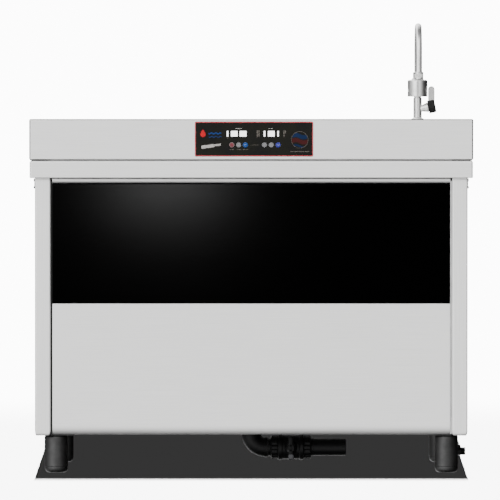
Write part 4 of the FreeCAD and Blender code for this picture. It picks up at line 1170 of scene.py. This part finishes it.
def makeDrain():
    w = drainWork
    low, high = measured("drain_elbow")
    pipeLow, pipeHigh = measured("drain_outlet_pipe")
    y, z = (pipeLow.y + pipeHigh.y) / 2, (pipeLow.z + pipeHigh.z) / 2
    bodyLow, bodyHigh = measured("drain_valve_body")
    nutLow, nutHigh = measured("drain_union_nuts")
    r = w["elbow"]
    path = bentPath([(0, y, high.z), (0, y, z), (nutLow.x - 0.4, y, z)], w["elbowBend"], 16)
    bm = tubeInto(bmesh.new(), path, r, 48)
    latheInto(bm, [(r - 2, 0), (r + w["elbowBead"], 0.5), (r + w["elbowBead"], 7), (r - 2, 8)],
              (nutLow.x - 8.4, y, z), xAxis, 64)
    latheInto(bm, [(r - 2, 0), (r + w["elbowBead"], 0.5), (r + w["elbowBead"], 8), (r - 2, 9)],
              (0, y, high.z - 9.5), zAxis, 64)
    latheInto(bm, [(w["neck"], 0), (w["neck"], bodyLow.x - nutLow.x)], (nutLow.x, y, z), xAxis, 48)
    finish("drain_elbow_moulded", bm, mats["pvc"], "bench", ["drain_elbow"], sharp=50)

    bm = bmesh.new()
    n, neck = w["nut"], w["neck"]
    for start, way in ((nutLow.x, 1), (nutHigh.x, -1)):
        profile = [(neck + 0.2, 0.0), (neck + 0.6, 0.5), (neck + 0.6, 5.5), (neck + 4, 7.0), (n - 1.5, 7.6),
                   (n, 9.0), (n, 9.6, 1.0), (n, 23.0, 1.0), (n, 23.6), (n - 1, 25.6), (neck, 25.6),
                   (neck + 0.2, 0.0)]
        latheInto(bm, profile, (start, y, z), xAxis * way, 144, ribs(w["nutRibs"], w["nutRibDepth"]))
    finish("drain_nuts_ribbed", bm, mats["pvc"], "bench", ["drain_union_nuts"])

    v, length = w["valve"], bodyHigh.x - bodyLow.x
    profile = [(w["bore"], 0), (v - 1, 0), (v, 1), (v, 9), (v - 1.5, 10.5), (w["valveWaist"], 12),
               (w["valveWaist"], length - 12), (v - 1.5, length - 10.5), (v, length - 9), (v, length - 1),
               (v - 1, length), (w["bore"], length), (w["bore"], 0)]
    bm = latheInto(bmesh.new(), profile, (bodyLow.x, y, z), xAxis, 96)
    middle = Vector(((bodyLow.x + bodyHigh.x) / 2, y, z))
    tall = y - bodyLow.y
    profile = [(w["boss"] + 5, w["valveWaist"] - 3), (w["boss"] + 1.5, w["valveWaist"] + 2),
               (w["boss"], w["valveWaist"] + 5), (w["boss"], tall - 0.8), (w["boss"] - 0.8, tall),
               (6.1, tall), (6.1, tall - 6)]
    latheInto(bm, profile, middle, -yAxis, 56)
    finish("drain_valve_moulded", bm, mats["pvc"], "bench", ["drain_valve_body"])

    length = pipeHigh.x - nutHigh.x
    p, b = w["pipe"], w["bore"]
    profile = [(b, -26), (neck - 0.2, -26), (neck - 0.2, 0.3), (p, 0.3), (p, length - 1.5),
               (p - 1.5, length), (b, length), (b, -26)]
    finish("drain_outlet_tail", latheInto(bmesh.new(), profile, (nutHigh.x, y, z), xAxis, 96), mats["pvc"],
           "bench", ["drain_outlet_pipe"])

    low, high = measured("drain_valve_handle")
    mid = (low + high) / 2
    half = w["handleHalf"]
    bm = boxInto(bmesh.new(), (mid.x - half, low.y, low.z), (mid.x + half, high.y - 4, high.z),
                 w["handleCorner"], 4)
    latheInto(bm, w["hub"], (mid.x, high.y, mid.z), -yAxis, 56)
    for side in (-1, 1):
        for k in range(w["gripRibs"]):
            level = mid.z + side * (w["gripStart"] + k * w["gripPitch"])
            boxInto(bm, (mid.x - half - 0.5, low.y + 3, level - 0.8),
                    (mid.x + half + 0.5, high.y - 6, level + 0.8), 0.5, 2)
    finish("drain_handle_grip", bm, mats["pvc"], "drain_valve", ["drain_valve_handle"])


makeDrain()
print("drain line done")


# --- water coupling, latches and rear fittings
fittings = {
    "couplingHex": 12.0, "thread": 10.5, "threadRoot": 9.6, "threadPitch": 1.8,
    "mouth": 6.0, "mouthDepth": 16.0, "socket": 8.0,
    "couplingHeight": 50.0, "hexEnd": 21.0, "inletPipe": 12.0,
    "latchPin": 1.5, "latchArm": (3.0, 5.4), "ball": 3.5,
    "gland": 12.0, "glandBore": 6.0,
    "isolatorScrew": 24.0, "dial": 22.0,
    "knob": 18.0, "knobDepth": 16.0, "knobRibs": 24, "screwHead": 4.0, "screwSocket": 1.6,
}


def makeCoupling():
    w = fittings
    low, high = measured("inlet_coupling")
    y, z = (low.y + high.y) / 2, w["couplingHeight"]
    length = high.x - low.x
    hexEnd, r = w["hexEnd"], w["couplingHex"]
    profile = [(0, 0), (r - 1.2, 0), (r, 1.0, 1.0), (r, 9.5, 1.0), (r - 1.2, 10.5), (r - 1.2, 11.5),
               (r, 12.2, 1.0), (r, hexEnd - 1, 1.0), (r - 1.2, hexEnd), (w["threadRoot"], hexEnd + 0.4)]
    turns = int((length - hexEnd - 1.5) / w["threadPitch"])
    for i in range(turns):
        h = hexEnd + 0.9 + i * w["threadPitch"]
        profile += [(w["threadRoot"], h), (w["thread"], h + 0.6), (w["thread"], h + 0.9),
                    (w["threadRoot"], h + 1.5)]
    profile += [(w["threadRoot"], length - 0.5), (w["threadRoot"] - 0.5, length), (w["mouth"], length),
                (w["mouth"], length - w["mouthDepth"]), (0, length - w["mouthDepth"])]
    bm = latheInto(bmesh.new(), profile, (low.x, y, z), xAxis, 72, hexagon)
    s, pipe = w["socket"], low.x + w["inletPipe"]
    profile = [(s, 0), (s, high.z - z - 3), (s - 1, high.z - z), (4.7, high.z - z), (4.7, high.z - z - 4),
               (0, high.z - z - 4)]
    latheInto(bm, profile, (pipe, y, z), zAxis, 48)
    finish("inlet_coupling_hex", bm, mats["abs"], "bench", ["inlet_coupling"])


def makeLatches():
    w = fittings
    for name in ("left", "right"):
        low, high = measured("latch_lever_" + name)
        mid = (low + high) / 2
        pivot = high.z - w["latchPin"]
        bm = tubeInto(bmesh.new(), [(mid.x, low.y, pivot), (mid.x, high.y, pivot)], w["latchPin"], 20)
        thick, wide = w["latchArm"]
        boxInto(bm, (mid.x - thick / 2, mid.y - wide / 2, low.z + 5.5),
                (mid.x + thick / 2, mid.y + wide / 2, high.z), 1.2, 3)
        r = w["ball"]
        turns = (math.radians(d) for d in range(-75, 61, 15))
        profile = [(0, -r), *((r * math.cos(a), r * math.sin(a)) for a in turns), (1.4, r + 1), (0, r + 1.4)]
        latheInto(bm, profile, (mid.x, mid.y, low.z + r), zAxis, 32)
        finish("latch_" + name, bm, mats["abs"], "latch_" + name, ["latch_lever_" + name])


def makeRearFittings():
    w = fittings
    low, high = measured("cable_gland")
    face = measured("rear_panel")[1].y
    x, z = (low.x + high.x) / 2, (low.z + high.z) / 2
    r, bore, length = w["gland"], w["glandBore"], high.y - face
    profile = [(bore, -8), (r, -8, 1.0), (r, -2.5, 1.0), (r - 3, -2), (r - 3, 0.0), (r, 0.0), (r, 0.8, 1.0),
               (r, 4.6, 1.0), (r - 1.2, 5.2), (r - 1.2, 6), (r - 0.4, 6.4), (r - 0.4, 10),
               (r - 2.5, length - 1), (r - 4, length), (bore, length), (bore, -8)]
    finish("cable_gland_hex", latheInto(bmesh.new(), profile, (x, face, z), yAxis, 72, hexagon), mats["abs"],
           "bench", ["cable_gland"])

    low, high = measured("isolator_body")
    mid = (low + high) / 2
    half = (high.x - low.x) / 2
    bm = bmesh.new()
    place = (Vector((mid.x, face, mid.z)), xAxis, zAxis, yAxis)
    tall, dial, reach = high.y - face, w["dial"], w["isolatorScrew"]
    ringsInto(bm, [(half, half, 7, 0), (half, half, 7, tall - 1.2), (half - 1.2, half - 1.2, 5.8, tall),
                   (dial, dial, dial - 0.1, tall), (dial - 0.5, dial - 0.5, dial - 0.6, tall - 0.8)],
              place, caps=(True, True), steps=10)
    boxInto(bm, (mid.x - reach, low.y, mid.z - reach), (mid.x + reach, face - 2, mid.z + reach), 2, 3)
    for sx in (-1, 1):
        for sz in (-1, 1):
            latheInto(bm, [(3.2, 0), (3.2, 0.4), (2.6, 0.8), (1.5, 0.8, 1.0), (1.3, 0.1, 1.0), (0, 0.1)],
                      (mid.x + sx * reach, high.y, mid.z + sz * reach), yAxis, 36, hexagon)
    finish("isolator_housing", bm, mats["abs"], "bench", ["isolator_body"])
    bm = bmesh.new()
    for a, b in ((0, 25), (25, 0)):  # off and on marks
        boxInto(bm, (mid.x + a - 1.0, high.y - 0.05, mid.z + b - 1.0),
                (mid.x + a + 1.0, high.y + 0.2, mid.z + b + 1.0), 0.2, 1)
    finish("isolator_marks", bm, mats["keyWhite"], "bench")

    low, high = measured("isolator_knob")
    start = high.y - w["knobDepth"]
    r = w["knob"]
    profile = [(0, 0), (r - 1, 0), (r, 1, 1.0), (r, 6, 1.0), (r - 2, 8), (0, 8)]
    bm = latheInto(bmesh.new(), profile, (mid.x, start, mid.z), yAxis, 144, ribs(w["knobRibs"], 0.05))
    boxInto(bm, (mid.x - 5, start + 6, mid.z - r + 1), (mid.x + 5, high.y, mid.z + r - 1), 2.5, 4)
    finish("isolator_grip", bm, mats["red"], "isolator", ["isolator_knob"])
    bm = boxInto(bmesh.new(), (mid.x - 0.7, high.y - 0.4, mid.z + 4), (mid.x + 0.7, high.y, mid.z + r - 4),
                 0.1, 1)
    finish("isolator_pointer", bm, mats["keyWhite"], "isolator")


def makeScrews():
    seats = {(round(v.co.x * 100), round(v.co.z * 100)): v.co * 1000 for v in
             nodes["rear_panel_screws"].data.vertices}
    groups = []  # corners nearer than a screw's width belong to one screw
    for spot in seats.values():
        for group in groups:
            if math.hypot(group[0].x - spot.x, group[0].z - spot.z) < 12:
                group.append(spot)
                break
        else:
            groups.append([spot])
    face = measured("rear_panel")[1].y
    r, key = fittings["screwHead"], fittings["screwSocket"]
    bm = bmesh.new()
    for group in groups:
        x = (min(p.x for p in group) + max(p.x for p in group)) / 2
        z = (min(p.z for p in group) + max(p.z for p in group)) / 2
        profile = [(r + 1.2, 0), (r + 1.2, 0.5), (r, 0.6), (r, 0.9), (r - 0.7, 1.7), (r - 1.8, 2.0),
                   (key + 0.3, 2.0, 1.0), (key, 1.7, 1.0), (key, 0.7, 1.0), (0, 0.5)]
        latheInto(bm, profile, (x, face, z), yAxis, 48, hexagon)
    finish("rear_screw_heads", bm, mats["screw"], "bench", ["rear_panel_screws"])


for make in (makeCoupling, makeLatches, makeRearFittings, makeScrews):
    make()
print("fittings done")


# --- camera, floor and light
studio = {
    "distance": 18.0,  # in front of the deck: long enough that the view is nearly straight
    "height": 0.88,
    "side": -0.0032,
    "aimHeight": 0.5675,
    "frameWidth": 1.2687,
    "sensorMm": 36.0,
    "seenWhite": 12.0,  # the backdrop as the camera sees it
    "fill": 0.045,  # what plain surfaces take from all round
    "mirror": 3.45,  # what the metal reflects
    "sideToSide": [(0.0, 0.15), (0.03, 0.35), (0.11, 0.77), (0.2, 1.0), (0.32, 1.0), (0.5, 0.77), (0.63, 0.6),
                   (0.73, 0.4), (0.82, 0.2), (0.89, 0.1), (0.95, 0.03), (1.0, 0.01)],
    "cameraGap": 0.04, "below": 0.03, "overhead": 0.1,  # shares of it that stay
    "behind": 0.92, "behindLeft": 0.88, "behindRight": 0.98,  # shares of it that are lost
    "sunHeight": 27.5, "sunSoftness": 1.2, "sun": 61.0,
    "glow": 6.0,
    "floorHalf": 40.0, "floorDrop": -0.5,  # metres out, and millimetres under the feet
    "floorEnd": (2.4, 5.0),  # where the floor starts and ends its fade into the white
    "flag": ((-0.54, -0.78), (0.54, -0.78), (0.577, 1.9), (-0.577, 1.9)),  # a card that shades the floor
    "flagFade": 0.2,
}
sideCards = {  # place, aim, size and power of the cards that the sides and the back reflect
    "rightCard": ((5, 0.3, 1.0), (0, 0.3, 0.6), (5, 3), 42.0),
    "rearRightCard": ((3.5, 3.8, 1.0), (0, 0, 0.6), (4, 3), 30.0),
    "rearCard": ((0.3, 5, 1.2), (0, 0, 0.6), (4, 3), 25.0),
    "rearLeftCard": ((-3.5, 3.8, 1.0), (0, 0, 0.6), (4, 3), 20.0),
}


def makeCamera():
    data = bpy.data.cameras.new("camera")
    camera = bpy.data.objects.new("camera", data)
    bpy.context.scene.collection.objects.link(camera)
    front = cadBox[0][1]
    camera.location = (studio["side"], front - studio["distance"], studio["height"])
    aim = Vector((studio["side"], front, studio["aimHeight"]))
    camera.rotation_euler = (aim - camera.location).to_track_quat("-Z", "Y").to_euler()
    data.sensor_width = studio["sensorMm"]
    data.lens = studio["sensorMm"] * studio["distance"] / studio["frameWidth"]
    data.clip_end = 200.0
    bpy.context.scene.camera = camera


def makeFloor():
    mat, tree, shader = newMaterial("pale studio floor", "F7F7F7", 0.0, 1.0, 1.4, {"Specular IOR Level": 0.0})
    speck = objectNoise(tree, 60.0, 3.0, 0.6)
    tree.links.new(tintBy(tree, speck, "F5F5F5", "F9F9F9"), shader.inputs["Base Color"])
    coords = addNode(tree, "ShaderNodeTexCoord")
    away = addNode(tree, "ShaderNodeVectorMath", {"operation": "LENGTH"}, links={0: coords.outputs["Object"]})
    near, far = studio["floorEnd"]
    fade = addNode(tree, "ShaderNodeMapRange", {"interpolation_type": "SMOOTHSTEP"},
                   {"From Min": near, "From Max": far}, {"Value": away.outputs["Value"]})
    white = addNode(tree, "ShaderNodeEmission",
                    inputs={"Color": (1, 1, 1, 1), "Strength": studio["seenWhite"]})
    mixed = addNode(tree, "ShaderNodeMixShader", links={"Fac": fade.outputs["Result"],
                                                        1: shader.outputs[0], 2: white.outputs[0]})
    tree.links.new(mixed.outputs[0], tree.nodes["Material Output"].inputs["Surface"])
    bm = bmesh.new()
    half = studio["floorHalf"] * 1000
    corners = ((-half, -half), (half, -half), (half, half), (-half, half))
    bm.faces.new([bm.verts.new((x, y, studio["floorDrop"])) for x, y in corners])
    floor = finish("floor", bm, mat)
    floor.visible_glossy = False
    floor.visible_diffuse = False


def eased(tree, source, low, high, start, stop):
    made = addNode(tree, "ShaderNodeMapRange", {"interpolation_type": "SMOOTHSTEP"},
                   {"From Min": low, "From Max": high, "To Min": start, "To Max": stop}, {"Value": source})
    return made.outputs["Result"]


def times(tree, first, second):
    return addNode(tree, "ShaderNodeMath", {"operation": "MULTIPLY"}, links={0: first, 1: second}).outputs[0]


# what stays of a strength when a share of it is lost
def without(tree, strength, share):
    rest = addNode(tree, "ShaderNodeMath", {"operation": "SUBTRACT"}, {0: 1.0}, {1: share})
    return times(tree, strength, rest.outputs[0])


# the camera sees an even white, the metal sees a room brighter on its left, plain surfaces see a weak fill
def makeWorld():
    world = bpy.data.worlds.new("studio")
    bpy.context.scene.world = world
    world.use_nodes = True
    tree = world.node_tree
    tree.nodes.clear()
    coords = addNode(tree, "ShaderNodeTexCoord")
    split = addNode(tree, "ShaderNodeSeparateXYZ", links={"Vector": coords.outputs["Generated"]})
    x, y, z = (split.outputs[name] for name in "XYZ")
    side = addNode(tree, "ShaderNodeMapRange", inputs={"From Min": -1.0, "From Max": 1.0}, links={"Value": x})
    ramp = addNode(tree, "ShaderNodeValToRGB", links={"Fac": side.outputs["Result"]})
    stops = studio["sideToSide"]
    ramp.color_ramp.elements[0].position = stops[0][0]
    ramp.color_ramp.elements[1].position = stops[-1][0]
    for stop in stops[1:-1]:
        ramp.color_ramp.elements.new(stop[0])
    for element, stop in zip(ramp.color_ramp.elements, stops):
        element.color = (stop[1], stop[1], stop[1], 1)
    mirror = studio["mirror"]
    strength = eased(tree, y, -0.995, -0.955, mirror * studio["cameraGap"], mirror)
    strength = times(tree, strength, eased(tree, z, -0.78, -0.32, studio["below"], 1.0))
    strength = times(tree, strength, eased(tree, z, 0.76, 0.92, 1.0, studio["overhead"]))
    for start, stop, loss in ((-0.3, -0.8, studio["behindLeft"]), (0.1, 0.6, studio["behindRight"])):
        lost = times(tree, eased(tree, x, start, stop, 0.0, loss), eased(tree, y, 0.0, 0.5, 0.0, 1.0))
        strength = without(tree, strength, lost)
    band = times(tree, eased(tree, z, -0.32, -0.18, 0.0, 1.0), eased(tree, z, 0.12, 0.25, 1.0, 0.0))
    band = times(tree, band, eased(tree, y, 0.3, 0.8, 0.0, studio["behind"]))  # low behind the object
    strength = without(tree, strength, band)
    path = addNode(tree, "ShaderNodeLightPath")
    direct = addNode(tree, "ShaderNodeMath", {"operation": "LESS_THAN"}, {1: 0.5},
                     {0: path.outputs["Diffuse Depth"]})
    strength = times(tree, strength, direct.outputs[0])
    glossy = addNode(tree, "ShaderNodeBackground", links={"Color": ramp.outputs["Color"],
                                                          "Strength": strength})
    diffuse = addNode(tree, "ShaderNodeBackground",
                      inputs={"Color": (1, 1, 1, 1), "Strength": studio["fill"]})
    seen = addNode(tree, "ShaderNodeBackground",
                   inputs={"Color": (1, 1, 1, 1), "Strength": studio["seenWhite"]})
    mixA = addNode(tree, "ShaderNodeMixShader", links={"Fac": path.outputs["Is Glossy Ray"],
                                                       1: diffuse.outputs[0], 2: glossy.outputs[0]})
    mixB = addNode(tree, "ShaderNodeMixShader", links={"Fac": path.outputs["Is Camera Ray"],
                                                       1: mixA.outputs[0], 2: seen.outputs[0]})
    addNode(tree, "ShaderNodeOutputWorld", links={"Surface": mixB.outputs[0]})


def makeFlag():
    mat, tree, shader = newMaterial("soft edged black card", "000000", 0.0, 1.0)
    coords = addNode(tree, "ShaderNodeTexCoord")
    split = addNode(tree, "ShaderNodeSeparateXYZ", links={"Vector": coords.outputs["Object"]})
    clear = addNode(tree, "ShaderNodeBsdfTransparent")
    near = studio["flag"][0][1]
    mixed = addNode(tree, "ShaderNodeMixShader",
                    links={"Fac": eased(tree, split.outputs["Y"], near, near + studio["flagFade"], 0.0, 1.0),
                           1: clear.outputs[0], 2: shader.outputs[0]})
    tree.links.new(mixed.outputs[0], tree.nodes["Material Output"].inputs["Surface"])
    bm = bmesh.new()
    bm.faces.new([bm.verts.new((x * 1000, y * 1000, -studio["floorDrop"])) for x, y in studio["flag"]])
    card = finish("floor_flag", bm, mat)
    card.visible_camera = False
    card.visible_glossy = False
    card.visible_diffuse = False


# an area light, or the sun when it has no size; only the named pieces take light from it
def makeLight(name, place, aim, size, power, glossy=True, lit=()):
    data = bpy.data.lights.new(name, "AREA" if size else "SUN")
    data.energy = power
    if size:
        data.shape = "ELLIPSE"
        data.size, data.size_y = size
    else:
        data.angle = math.radians(studio["sunSoftness"])
    light = bpy.data.objects.new(name, data)
    bpy.context.scene.collection.objects.link(light)
    light.location = place
    light.rotation_euler = (Vector(aim) - Vector(place)).to_track_quat("-Z", "Y").to_euler()
    light.visible_camera = False
    light.visible_glossy = glossy
    if lit:
        group = bpy.data.collections.new(name + "Receivers")
        for obj in lit:
            group.objects.link(obj)
        light.light_linking.receiver_collection = group


makeCamera()
makeFloor()
makeFlag()
makeWorld()
tilt = math.radians(studio["sunHeight"])
makeLight("sunKey", (0, -20 * math.cos(tilt), 20 * math.sin(tilt)), (0, 0, 0), None, studio["sun"], False)
sheetwork = [bpy.data.objects[name] for name in
             ("side_sheets", "rear_sheet", "rear_louvre_hoods", "deck_sheet", "apron_sheet",
              "corner_post_tubes")]
enamelled = [bpy.data.objects["black_enamel_sheet"]]
everyPiece = [obj for obj in bpy.data.objects
              if obj.type == "MESH" and obj.name not in ("floor", "floor_flag")]
for obj in everyPiece:  # face normals follow the broad faces, so that flat sheets shade flat
    if obj.name not in nodes:
        obj.modifiers.new("normals", "WEIGHTED_NORMAL").keep_sharp = True
    obj.visible_diffuse = False
makeLight("panelGlow", (-0.243, -2.6, 0.717), (-0.216, 0, 0.73), (0.34, 0.1), studio["glow"], True,
          enamelled)
for name, (place, aim, size, power) in sideCards.items():
    makeLight(name, place, aim, size, power, True, sheetwork)
makeLight("rearFill", (0.5, 5, 3), (0, 0, 0.5), (3, 2), 700.0, False, everyPiece)
print("camera, floor and light done")
